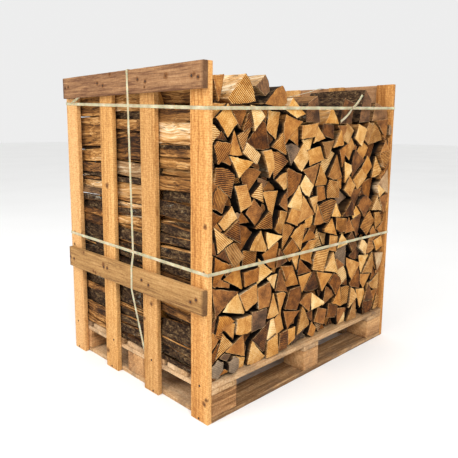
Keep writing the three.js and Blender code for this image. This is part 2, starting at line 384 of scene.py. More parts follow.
@dataclass(frozen=True)
class SawnSoftwood:
    """Rough-sawn spruce or pine: long grain lines, a fuzzy, pitted sawn face, and knots."""

    name: str
    light: str
    middle: str
    dark: str
    grain: Axis
    seed: float = 0.0
    knots: tuple[Knot, ...] = ()
    grain_width: float = 9 * MM
    fuzz_size: float = 3.2 * MM
    weathering: float = 0.0
    fuzz_strength: float = 0.5
    saw_pitch: float = 7 * MM
    saw_marks: float = 0.5
    ends: tuple[float, float] | None = None
    end_stain: float = 13 * MM

    def build(self) -> bpy.types.Material:
        """Make the material.

        Returns:
            The board's material, with its grain along the grain axis.
        """
        look = Shading(self.name)
        place = look.object_place()
        # Grain lines run the length of the board, so the pattern is squeezed 20 times along it
        along = look.mapped(place, self._stretch(1 / 20), (self.seed, self.seed * 0.7, self.seed * 1.3))
        bands = look.noise(along, 1 / self.grain_width, 3.0, 0.6, 0.6)
        fibres = look.noise(along, 4 / self.grain_width)
        broad = look.noise(along, 7.0)
        # The band saw leaves a fuzzy, pitted face that catches the light
        fuzz_place = look.mapped(place, self._stretch(0.45), (self.seed, 0, 0))
        fuzz = look.noise(fuzz_place, 1 / self.fuzz_size, 3.0, 0.7)
        mixed = look.maths("MULTIPLY_ADD", bands, 0.55, broad)
        factor = look.remap(look.maths("MULTIPLY_ADD", fibres, 0.3, mixed), 0.72, 1.12)
        colour = look.ramp([(0.0, self.dark), (0.42, self.middle), (1.0, self.light)], factor)
        pits = look.maths("MULTIPLY_ADD", look.remap(fuzz, 0.3, 0.42), -0.6, 0.6)
        colour = look.mix(pits, colour, "C89A62", "MULTIPLY")
        colour = self._add_saw_marks(look, place, colour)
        height = look.maths("MULTIPLY_ADD", fuzz, 0.8, fibres)
        for knot in self.knots:
            colour, height = self._add_knot(look, place, knot, colour, height)
        if self.ends is not None:
            colour = self._add_end_stain(look, place, colour)
        if self.weathering > 0:
            # Soft grey and dirty patches
            patches = look.noise(place, 11.0 + self.seed, 5.0, 0.68)
            colour = look.mix(look.remap(patches, 0.47, 0.72, 0.0, self.weathering), colour, "6A5644")
        look.tree.links.new(look.remap(fuzz, 0.0, 1.0, 0.72, 0.92), look.shader.inputs["Roughness"])
        return look.finish(colour, {"Specular IOR Level": 0.25}, height, self.fuzz_strength, 0.9 * MM)

    def _stretch(self, along: float) -> tuple[float, ...]:
        """Give a pattern's scale on each axis, with its own one along the grain."""
        return tuple(along if axis == self.grain.value else 1.0 for axis in range(3))

    def _add_saw_marks(self, look: Shading, place: Socket, colour: Socket) -> Socket:
        """Darken the wood in faint stripes across the grain, where the band saw's teeth rubbed.

        Args:
            look: the material.
            place: the object coordinates.
            colour: the colour so far.

        Returns:
            The colour with the saw marks in it.
        """
        sway = look.noise(place, 16.0, 3.0)
        along = look.maths("MULTIPLY_ADD", sway, 0.022, look.parts(place)[self.grain.value])
        mottle = look.noise(place, 150.0, 3.0, 0.65)
        rubbed = look.maths("MULTIPLY_ADD", look.stripes(along, self.saw_pitch), 0.05, mottle)
        return look.mix(look.remap(rubbed, 0.62, 0.38, 0.0, self.saw_marks), colour, "B88C5C", "MULTIPLY")

    def _add_knot(
        self, look: Shading, place: Socket, knot: Knot, colour: Socket, height: Socket
    ) -> tuple[Socket, Socket]:
        """Lay one knot over the grain: a dark ring round a reddish eye.

        Args:
            look: the material.
            place: the object coordinates.
            knot: where the knot is.
            colour: the colour so far.
            height: the bump height so far.

        Returns:
            The colour and height with the knot in them.
        """
        # Every knot is pushed out of round, by up to two thirds of its radius
        push = knot.radius * 1.3
        wobble = look.noise(place, 0.9 / knot.radius, 3.0, 0.65, output="Color")
        pushed = look.maths("MULTIPLY_ADD", wobble, (push, push, push), place, kind="VectorMath")
        centre = (knot.x + push / 2, knot.y + push / 2, knot.z + push / 2)
        away = look.maths("DISTANCE", pushed, centre, kind="VectorMath")
        radius = look.maths("DIVIDE", away, knot.radius)
        eye = look.ramp(
            [(0.0, "2E190B"), (0.4, "5E3819"), (0.68, "7E4E24"), (0.9, "38200F"), (1.0, "8A5C30")], radius
        )
        mask = look.remap(radius, 1.35, 0.6, 0.0, 0.92)
        return look.mix(mask, colour, eye), look.maths("MULTIPLY_ADD", mask, -0.6, height)

    def _add_end_stain(self, look: Shading, place: Socket, colour: Socket) -> Socket:
        """Darken the wood towards the board's sawn ends, which take up water first.

        Args:
            look: the material.
            place: the object coordinates.
            colour: the colour so far.

        Returns:
            The colour with dark, ragged ends.
        """
        ragged = look.noise(place, 70.0, 4.0, 0.7)
        along = look.maths("MULTIPLY_ADD", ragged, self.end_stain, look.parts(place)[self.grain.value])
        for end, inward in zip(self.ends, (1, -1)):
            edge = end + self.end_stain / 2
            mask = look.remap(along, edge, edge + inward * self.end_stain, 0.75, 0.0)
            colour = look.mix(mask, colour, "4A2E1A")
        return colour


@dataclass(frozen=True)
class SawnEndGrain:
    """A hardwood log's sawn end: saw marks, growth rings, torn pale fibres and a dark bark line."""

    name: str = "sawn_hardwood_end_grain"
    ring_pitch: float = 6.0 * MM
    saw_pitch: float = 6.0 * MM

    def build(self) -> bpy.types.Material:
        """Make the material.

        Returns:
            The end-grain material. The logs' point attributes place its rings and saw marks.
        """
        look = Shading(self.name)
        place = look.stored("log_place")
        brightness, _, seed = look.parts(look.stored("log_tone"))
        greyness, _, saw_strength = look.parts(look.stored("log_state"))
        saw_place, edge, bark_line = look.parts(look.stored("log_cut"))
        own = look.moved(place, seed)
        blotch = look.noise(own, 24.0, 4.0, 0.6)
        fine = look.noise(own, 190.0, 3.0, 0.75)

        # Growth rings: circles round the pith, pushed about by the noise. Real rings are 2 to 3 mm
        # apart; they are drawn twice as coarse so that they show.
        flat = look.maths("MULTIPLY", place, (1.0, 1.0, 0.0), kind="VectorMath")
        radius = look.maths("LENGTH", flat, kind="VectorMath")
        rings = look.stripes(look.maths("MULTIPLY_ADD", blotch, 0.014, radius), self.ring_pitch)

        # Saw marks: straight scores across the end, in each log's own direction
        scores = look.stripes(look.maths("MULTIPLY_ADD", blotch, 0.007, saw_place), self.saw_pitch)
        saw_lines = look.maths("MULTIPLY", scores, saw_strength)

        factor = look.maths("MULTIPLY_ADD", blotch, 0.95, brightness)
        for lines, weight in ((rings, 0.05), (saw_lines, 0.24), (fine, 0.6)):
            factor = look.maths("MULTIPLY_ADD", lines, weight, factor)
        scaled = look.remap(factor, 0.68, 1.80)
        browns = ("2A1405", "64370F", "9E6124", "C6893C", "DFB16A", "EFCF96")
        colour = look.ramp(list(zip((0.0, 0.2, 0.42, 0.64, 0.83, 1.0), browns)), scaled)
        aged = look.ramp([(0.0, "3E362D"), (0.5, "8A7A66"), (1.0, "CBC0A8")], scaled)
        colour = look.mix(greyness, colour, aged)

        # Torn fibres at the rim of the cut are paler than the face
        torn = look.remap(look.maths("MULTIPLY", edge, fine), 0.28, 0.55, 0.0, 0.7)
        colour = look.mix(torn, colour, "E9C692")
        colour = look.mix(look.remap(bark_line, 0.35, 0.7, 0.0, 0.95), colour, "2A1A0F")
        height = look.maths("MULTIPLY_ADD", saw_lines, 0.45, fine)
        return look.finish(colour, {"Roughness": 0.85, "Specular IOR Level": 0.2}, height, 0.8, 1.0 * MM)


@dataclass(frozen=True)
class SplitHardwood:
    """A face torn open by the splitter: long raised fibres with dark hollows between them."""

    name: str = "split_hardwood_face"
    fibre_width: float = 5.5 * MM
    tear_width: float = 16 * MM

    def build(self) -> bpy.types.Material:
        """Make the material.

        Returns:
            The split-face material, with its fibres along each log.
        """
        look = Shading(self.name)
        place = look.stored("log_place")
        _, brightness, seed = look.parts(look.stored("log_tone"))
        greyness, painted_shade, _ = look.parts(look.stored("log_state"))
        # Fibres are about 30 times as long as they are wide, and sweep slowly from side to side
        wander = look.noise(place, 6.0, 1.5, output="Color")
        swayed = look.maths("MULTIPLY_ADD", wander, (0.055, 0.055, 0.0), place, kind="VectorMath")
        own = look.moved(look.mapped(swayed, (1.0, 1.0, 0.033)), seed)
        fibres = look.noise(own, 1 / self.fibre_width, 5.0, 0.7, 0.15)
        mixed = look.maths("MULTIPLY_ADD", fibres, 1.5, look.noise(own, 30.0))
        scaled = look.remap(look.maths("MULTIPLY_ADD", brightness, 0.7, mixed), 1.2, 2.05)
        browns = ("241204", "5E3814", "9A6730", "C28F52", "DFB684", "F2D9B2")
        colour = look.ramp(list(zip((0.0, 0.2, 0.42, 0.65, 0.85, 1.0), browns)), scaled)
        aged = look.ramp([(0.0, "1E1812"), (0.5, "6E5E4A"), (1.0, "B3A58C")], scaled)
        colour = look.mix(greyness, colour, aged)
        # Where the wood has torn apart, a thin dark line runs along the fibres
        tears = look.noise(own, 1 / self.tear_width, 3.0, distortion=0.25)
        beside_line = look.maths("ABSOLUTE", look.maths("SUBTRACT", tears, 0.5))
        colour = look.mix(look.remap(beside_line, 0.0, 0.022, 0.8, 0.0), colour, "2E190A")
        # Painted shade: split faces deep inside the row are darkened towards near black
        colour = look.mix(painted_shade, colour, "0E0703")
        return look.finish(colour, {"Roughness": 0.82, "Specular IOR Level": 0.2}, fibres, 1.0, 3.5 * MM)


@dataclass(frozen=True)
class HardwoodBark:
    """Rough dark bark with long ridges, and pale lichen in patches."""

    name: str = "hardwood_bark"
    plate_size: float = 15 * MM

    def build(self) -> bpy.types.Material:
        """Make the material.

        Returns:
            The bark material, with its ridges along each log.
        """
        look = Shading(self.name)
        seed = look.parts(look.stored("log_tone"))[2]
        painted_shade = look.parts(look.stored("log_state"))[1]
        own = look.moved(look.mapped(look.stored("log_place"), (1.0, 1.0, 0.45)), seed)
        plates = look.noise(own, 1 / self.plate_size, 6.0, 0.72, 1.2)
        height = look.maths("MULTIPLY_ADD", look.noise(own, 240.0, 3.0, 0.7), 0.5, plates)
        colour = look.ramp(
            [(0.0, "0C0704"), (0.3, "281A10"), (0.58, "4C3724"), (0.82, "78603F"), (1.0, "A08A6A")],
            look.remap(height, 0.54, 0.98),
        )
        lichen = look.noise(own, 21.0, 7.0, 0.8)
        colour = look.mix(look.remap(lichen, 0.6, 0.67, 0.0, 0.6), colour, "A9A797")
        # Painted shade: bark deep inside the row is darkened towards near black
        colour = look.mix(painted_shade, colour, "0A0604")
        return look.finish(colour, {"Roughness": 0.92, "Specular IOR Level": 0.15}, height, 1.0, 5 * MM)


@dataclass(frozen=True)
class PolypropyleneStrap:
    """Extruded polypropylene strap: pale, slightly see-through, with fine ribs pressed along it."""

    name: str = "polypropylene_strap"
    rib_pitch: float = 2.5 * MM

    def build(self) -> bpy.types.Material:
        """Make the material.

        Returns:
            The strap material. The point attribute strap_place runs across and along the strap.
        """
        look = Shading(self.name)
        place = look.stored("strap_place")
        ribs = look.stripes(look.parts(place)[0], self.rib_pitch)
        cloudy = look.noise(place, 24.0, 3.0)
        colour = look.ramp([(0.3, "9C9270"), (0.5, "B5AA87"), (0.72, "D0C7A6")], cloudy)
        plastic = {"Roughness": 0.38, "IOR": 1.49, "Subsurface Weight": 0.25, "Subsurface Scale": 2 * MM}
        return look.finish(colour, plastic, ribs, 0.35, 0.3 * MM)


@dataclass(frozen=True)
class NailSteel:
    """Plain steel nail heads, dulled and rust-stained."""

    name: str = "rusty_nail_steel"

    def build(self) -> bpy.types.Material:
        """Make the material.

        Returns:
            The nail material.
        """
        look = Shading(self.name)
        rust = look.noise(look.object_place(), 700.0, 3.0)
        colour = look.ramp([(0.35, "2A211C"), (0.6, "4D372A"), (0.8, "6E655E")], rust)
        return look.finish(colour, {"Metallic": 0.6, "Roughness": 0.6})


# ---------------------------------------------------------------------------------------------------
# Boards
# ---------------------------------------------------------------------------------------------------


@dataclass
class SawnBoard:
    """One sawn board or block: worn corners, and faces that are never quite flat."""

    node: str
    finish: SawnSoftwood
    seed: int
    slot: str
    step: float = 24 * MM
    side_step: float = 14 * MM
    corner_radius: float = 1.6 * MM
    waviness: float = 0.5 * MM
    fuzz: float = 0.25 * MM
    nick_reach: float = 2.5 * MM
    nick_share: float = 0.12

    def build(self) -> bpy.types.Object:
        """Make the board in its CAD solid's place.

        Returns:
            The board.
        """
        low, high = (np.array(corner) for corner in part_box(self.node))
        long_axis = self.finish.grain.value
        across, up = [(1, 2), (2, 0), (0, 1)][long_axis]
        profile = self._profile(high[across] - low[across], high[up] - low[up])
        length = high[long_axis] - low[long_axis]
        stations = self._stations(length)
        rng = np.random.default_rng(self.seed)
        count = len(profile)
        rings = []
        for inset, station in stations:
            shrink = 1 - inset / np.maximum(np.abs(profile).max(axis=0), 1e-6)
            ring = np.zeros((count, 3))
            ring[:, across] = profile[:, 0] * shrink[0]
            ring[:, up] = profile[:, 1] * shrink[1]
            ring[:, long_axis] = station - length / 2
            rings.append(ring)
        points = self._roughen(np.concatenate(rings), rng, long_axis, (high - low) / 2)
        points += (low + high) / 2
        faces = sweep_faces(count, len(stations))
        name, materials = f"{self.node}_sawn", [self.finish.build()]
        piece = make_object(name, points, faces, materials, sharp_angle=math.radians(50))
        return hand_over(piece, self.slot, self.node)

    def _profile(self, width: float, height: float) -> np.ndarray:
        """Give the section's points, anticlockwise, with a small round at each corner.

        Args:
            width: the section's size across.
            height: the section's size up.

        Returns:
            One row of across and up for each point.
        """
        radius = self.corner_radius
        half = np.array([width / 2, height / 2])
        points = []
        signs = [(1, 1), (-1, 1), (-1, -1), (1, -1)]
        for i, sign in enumerate(signs):
            corner = half * sign
            middle = corner - np.array(sign) * radius
            for turn in (0.0, 0.5, 1.0):
                angle = math.pi / 2 * (i + turn)
                points.append(middle + radius * np.array([math.cos(angle), math.sin(angle)]))
            following = half * signs[(i + 1) % 4]
            side = following - corner
            span = np.linalg.norm(side)
            splits = max(1, round(span / self.side_step))
            for k in range(1, splits):
                points.append(corner + side * k / splits)
        return np.array(points)

    def _stations(self, length: float) -> list[tuple[float, float]]:
        """Give each ring's inset and its place along the board, with the two ends eased."""
        radius = self.corner_radius
        inner = np.linspace(radius, length - radius, max(3, round(length / self.step)))
        ends = [(radius, 0.0), (radius * 0.3, radius * 0.3)]
        far = [(radius * 0.3, length - radius * 0.3), (radius, length)]
        return ends + [(0.0, float(s)) for s in inner] + far

    def _roughen(
        self, points: np.ndarray, rng: np.random.Generator, long_axis: int, half: np.ndarray
    ) -> np.ndarray:
        """Sink the faces by a slow random wave and small nicks, never outwards.

        Args:
            points: the board's points, about its centre.
            rng: the board's random numbers.
            long_axis: the number of the axis along the grain.
            half: half the board's size along each axis.

        Returns:
            The moved points.
        """
        sink = np.zeros(len(points))
        for _ in range(5):
            wave = rng.normal(size=3) * 60
            wave[long_axis] = rng.normal() * 9
            sink += np.sin(points @ wave + rng.uniform(0, 2 * math.pi))
        sink = (sink / 5 + 1) / 2 * self.waviness
        sink += rng.uniform(0, self.fuzz, len(points))
        # Nicks take a bite out of the arrises only
        at_face = np.abs(np.abs(points) - half) < self.nick_reach
        bite = (rng.uniform(size=len(points)) < self.nick_share) & (at_face.sum(axis=1) >= 2)
        sink[bite] += rng.uniform(0.4, 1.6, bite.sum()) * MM
        inward = -np.sign(points) * at_face
        inward[:, long_axis] *= 0.6
        return points + inward * sink[:, None]


@dataclass
class Nails:
    """The nail heads of one face, set just under the surface of the wood."""

    name: str
    spots: list[tuple[float, float, float]]
    outward: tuple[float, float, float]
    radius: float = 3.6 * MM
    sides: int = 12

    def build(self, material: bpy.types.Material) -> bpy.types.Object:
        """Make all the heads as one joined mesh.

        Args:
            material: the nail steel.

        Returns:
            The nail heads.
        """
        outward = Vector(self.outward)
        turn = outward.to_track_quat("Z", "Y").to_matrix()
        points: list[Vector] = []
        faces: list[tuple[int, ...]] = []
        rows = [(0.75, -3.0 * MM), (1.0, -0.6 * MM), (1.0, 0.5 * MM), (0.72, 0.9 * MM)]
        for spot in self.spots:
            base = len(points)
            for share, height in rows:
                for k in range(self.sides):
                    angle = 2 * math.pi * k / self.sides
                    local = Vector((math.cos(angle) * share, math.sin(angle) * share, 0)) * self.radius
                    local.z = height
                    points.append(turn @ local + Vector(spot))
            faces += [tuple(base + i for i in face) for face in sweep_faces(self.sides, len(rows))]
        return hand_over(make_object(self.name, np.array(points), faces, [material]), "panel_rails")


@dataclass
class Pallet:
    """The block pallet: deck boards, stringer boards, blocks and a perimeter base."""

    deck_boards: int = 7
    board_tones: tuple[str, str, str] = ("DDBE96", "BC976A", "7A5A38")
    block_tones: tuple[str, str, str] = ("DDB27C", "BF9160", "7C5630")
    block_step: float = 14 * MM

    def build(self) -> list[bpy.types.Object]:
        """Make every piece of the pallet.

        Returns:
            The pallet's pieces.
        """
        pieces = []
        along_x = [f"deck_board_{i + 1}" for i in range(self.deck_boards)]
        along_x += ["bottom_board_front", "bottom_board_rear", "bottom_board_middle"]
        along_y = ["bottom_board_left", "bottom_board_right"]
        along_y += [f"stringer_board_{side}" for side in ("left", "middle", "right")]
        for axis, nodes in ((Axis.X, along_x), (Axis.Y, along_y)):
            for node in nodes:
                seed = len(pieces) + 1
                name = f"weathered_sawn_spruce_{node}"
                finish = SawnSoftwood(name, *self.board_tones, axis, seed=seed * 0.37, weathering=0.75)
                pieces.append(SawnBoard(node, finish, seed, "pallet_boards").build())
        for line in ("front", "middle", "rear"):
            for column in ("left", "middle", "right"):
                node = f"block_{line}_{column}"
                seed = len(pieces) + 1
                name = f"sawn_pine_{node}"
                finish = SawnSoftwood(name, *self.block_tones, Axis.X, seed=seed * 0.37, weathering=0.45)
                pieces.append(SawnBoard(node, finish, seed, "pallet_blocks", self.block_step).build())
        return pieces


class Side(Enum):
    """The crate's two end panels, with the sign of X that each stands on."""

    LEFT = -1
    RIGHT = 1


@dataclass
class EndPanel:
    """A slatted end panel: four upright slats with a top and a middle rail nailed across them."""

    side: Side
    slats: int = 4
    nail_drift: float = 14 * MM
    nail_shares: tuple[float, float] = (0.34, 0.68)
    rail_knots: int = 4
    slat_knots: int = 2
    edge_knots: int = 5
    stain_radius: float = 8 * MM
    slat_tones: tuple[tuple[str, str, str], ...] = (
        ("E6B674", "CE9450", "98622A"),
        ("DAAC70", "C29154", "8C602F"),
        ("E4B878", "CE9A58", "9A6A34"),
        ("DDAF74", "C79456", "90602E"),
    )
    rail_tones: dict[str, tuple[str, str, str]] = field(
        default_factory=lambda: {
            "top": ("C09770", "A07852", "6A462E"),
            "middle": ("C89E68", "A67E4A", "6E4A28"),
        }
    )

    def build(self, nail_steel: bpy.types.Material) -> list[bpy.types.Object]:
        """Make the panel's boards and nails.

        Args:
            nail_steel: the nails' material.

        Returns:
            The panel's pieces.
        """
        label = self.side.name.lower()
        pieces = []
        for i in range(self.slats):
            node = f"{label}_panel_slat_{i + 1}"
            seed = 40 + i + (10 if self.side is Side.RIGHT else 0)
            finish = SawnSoftwood(
                f"rough_sawn_spruce_{node}",
                *self.slat_tones[i],
                Axis.Z,
                seed=seed * 0.31,
                knots=self._knots(node, self.edge_knots if i == 0 else self.slat_knots, seed, i == 0),
            )
            pieces.append(SawnBoard(node, finish, seed, "panel_slats").build())
        for i, (rail, tones) in enumerate(self.rail_tones.items()):
            node = f"{label}_panel_{rail}_rail"
            seed = 60 + i + (10 if self.side is Side.RIGHT else 0)
            finish = SawnSoftwood(
                f"sawn_larch_{node}",
                *tones,
                Axis.Y,
                seed=seed * 0.31,
                # Rust from the nails has soaked into the wood round them
                knots=self._knots(node, self.rail_knots, seed)
                + tuple(Knot(*spot, self.stain_radius) for spot in self._rail_nails(node)),
                ends=(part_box(node)[0].y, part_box(node)[1].y),
                grain_width=7 * MM,
                fuzz_strength=0.3,
                saw_marks=0.3,
            )
            pieces.append(SawnBoard(node, finish, seed, "panel_rails").build())
        spots = self._foot_nails()
        for rail in self.rail_tones:
            spots += self._rail_nails(f"{label}_panel_{rail}_rail")
        nails = Nails(f"{label}_panel_nails", spots, (float(self.side.value), 0.0, 0.0))
        pieces.append(nails.build(nail_steel))
        return pieces

    def _rail_nails(self, rail: str) -> list[tuple[float, float, float]]:
        """Give a rail's nails: two where it crosses each slat, side by side.

        Args:
            rail: the rail's node.

        Returns:
            Their places on the rail's outer face.
        """
        label = self.side.name.lower()
        rng = np.random.default_rng(7 + self.side.value + len(rail))
        low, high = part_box(rail)
        x = high.x if self.side is Side.RIGHT else low.x
        spots = []
        for i in range(self.slats):
            slat_low, slat_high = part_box(f"{label}_panel_slat_{i + 1}")
            for share in self.nail_shares:
                drift = rng.uniform(-1, 1, 2) * self.nail_drift / 2
                y = slat_low.y + (slat_high.y - slat_low.y) * share + drift[0]
                spots.append((x, float(y), float((low.z + high.z) / 2 + drift[1])))
        return spots

    def _foot_nails(self) -> list[tuple[float, float, float]]:
        """Give the nails that hold each slat to the pallet: one in each board that it crosses."""
        label = self.side.name.lower()
        rng = np.random.default_rng(17 + self.side.value)
        spots = []
        for i in range(self.slats):
            low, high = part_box(f"{label}_panel_slat_{i + 1}")
            x = high.x if self.side is Side.RIGHT else low.x
            for board in ("bottom_board_front", "deck_board_1"):
                board_low, board_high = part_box(board)
                y = (low.y + high.y) / 2 + rng.uniform(-1, 1) * self.nail_drift
                spots.append((x, float(y), (board_low.z + board_high.z) / 2))
        return spots

    def _knots(self, node: str, count: int, seed: int, by_edge: bool = False) -> tuple[Knot, ...]:
        """Draw a board's knots on its outer face.

        Args:
            node: the board.
            count: how many knots it has.
            seed: the board's random seed.
            by_edge: whether they lie along its front edge, where the heart of the tree was.

        Returns:
            The knots.
        """
        rng = np.random.default_rng(500 + seed)
        low, high = (np.array(corner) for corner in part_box(node))
        if by_edge:
            high[1] = low[1] + (high[1] - low[1]) * 0.25
        spots = low + (high - low) * rng.uniform(0.04, 0.96, (count, 3))
        spots[:, 0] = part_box(node)[1].x if self.side is Side.RIGHT else low[0]
        sizes = rng.uniform(5, 12, count) * MM
        return tuple(Knot(*map(float, spot), float(size)) for spot, size in zip(spots, sizes))


# ---------------------------------------------------------------------------------------------------
# Firewood
# ---------------------------------------------------------------------------------------------------


@dataclass
class LogSection:
    """A split log's section: its outline, anticlockwise, and which of its points lie under bark."""

    points: np.ndarray
    bark: np.ndarray

    @classmethod
    def from_corners(
        cls, corners: np.ndarray, barky: np.ndarray, rng: np.random.Generator, step: float
    ) -> LogSection:
        """Ease a section's arrises, bow its sides and give it enough points to carry fibres.

        Args:
            corners: the section's corners, anticlockwise.
            barky: for each corner, whether the side that starts there is bark.
            rng: the log's random numbers.
            step: the spacing of the outline's points.

        Returns:
            The section.
        """
        count = len(corners)
        turns = 180 - corner_angles(corners)
        eased, flags = [], []
        for i in range(count):
            before = corners[i - 1] - corners[i]
            after = corners[(i + 1) % count] - corners[i]
            reach_back, reach_on = np.linalg.norm(before), np.linalg.norm(after)
            if abs(turns[i]) < 32:
                eased.append(corners[i])
                flags.append(barky[i])
                continue
            cut = rng.uniform(0.8, 2.4) * MM
            eased.append(corners[i] + before / reach_back * min(cut, reach_back * 0.3))
            flags.append(False)
            eased.append(corners[i] + after / reach_on * min(cut, reach_on * 0.3))
            flags.append(barky[i])
        points, bark = [], []
        for i, start in enumerate(eased):
            end = eased[(i + 1) % len(eased)]
            side = end - start
            length = float(np.linalg.norm(side))
            if length < 1e-5:
                continue
            inward = np.array([-side[1], side[0]]) / length
            sink = 0.0 if flags[i] else rng.uniform(0, 0.022) * length
            splits = max(1, round(length / step))
            for k in range(splits):
                t = k / splits
                points.append(start + side * t + inward * 4 * sink * t * (1 - t))
                bark.append(1.0 if flags[i] and (k or flags[i - 1]) else 0.0)
        return cls(np.array(points), np.array(bark))


@dataclass(frozen=True)
class LogTone:
    """A log's colouring: how bright its end and its split faces are, its greyness and its saw marks."""

    end: float
    split: float
    grey: float = 0.0
    saw: float = 0.5
    seed: float = 0.0

    @classmethod
    def drawn(cls, rng: np.random.Generator) -> LogTone:
        """Draw a log's colouring: most are warm, one in fourteen is grey and one in three is well sawn."""
        end = float(np.clip(rng.normal(0.40, 0.24), 0.0, 0.9))
        split = float(np.clip(0.5 + (end - 0.40) * 0.5 + rng.normal(0.0, 0.17), 0.05, 0.95))
        grey = float(rng.uniform(0.4, 0.85)) if rng.uniform() < 0.07 else float(rng.uniform(0, 0.14))
        saw = float(rng.uniform(0.8, 1.6)) if rng.uniform() < 0.36 else float(rng.uniform(0, 0.45))
        return cls(end, split, grey, saw, float(rng.uniform(0, 9)))


@dataclass(frozen=True)
class Daylight:
    """How far daylight reaches into a row. Inside it the faces get painted shade, darker the deeper they lie
    in the stack.
    """

    left: float
    right: float
    front: float
    back: float
    top_x: np.ndarray
    top_z: np.ndarray
    clear_side: float = 14 * MM
    hidden_side: float = 36 * MM
    clear_end: float = 1 * MM
    hidden_end: float = 15 * MM
    clear_top: float = 6 * MM
    hidden_top: float = 34 * MM

    def painted_shade(self, points: np.ndarray) -> np.ndarray:
        """Give each point's painted shade: 0 on the row's outside, 1 well inside it.

        Args:
            points: points of the row.

        Returns:
            One number for each point.
        """
        top = np.interp(points[:, 0], self.top_x, self.top_z)
        reaches = (
            (points[:, 0] - self.left, self.clear_side, self.hidden_side),
            (self.right - points[:, 0], self.clear_side, self.hidden_side),
            (points[:, 1] - self.front, self.clear_end, self.hidden_end),
            (self.back - points[:, 1], self.clear_end, self.hidden_end),
            (top - points[:, 2], self.clear_top, self.hidden_top),
        )
        dark = np.ones(len(points))
        for depth, clear, hidden in reaches:
            dark = np.minimum(dark, ((depth - clear) / (hidden - clear)).clip(0, 1))
        return dark


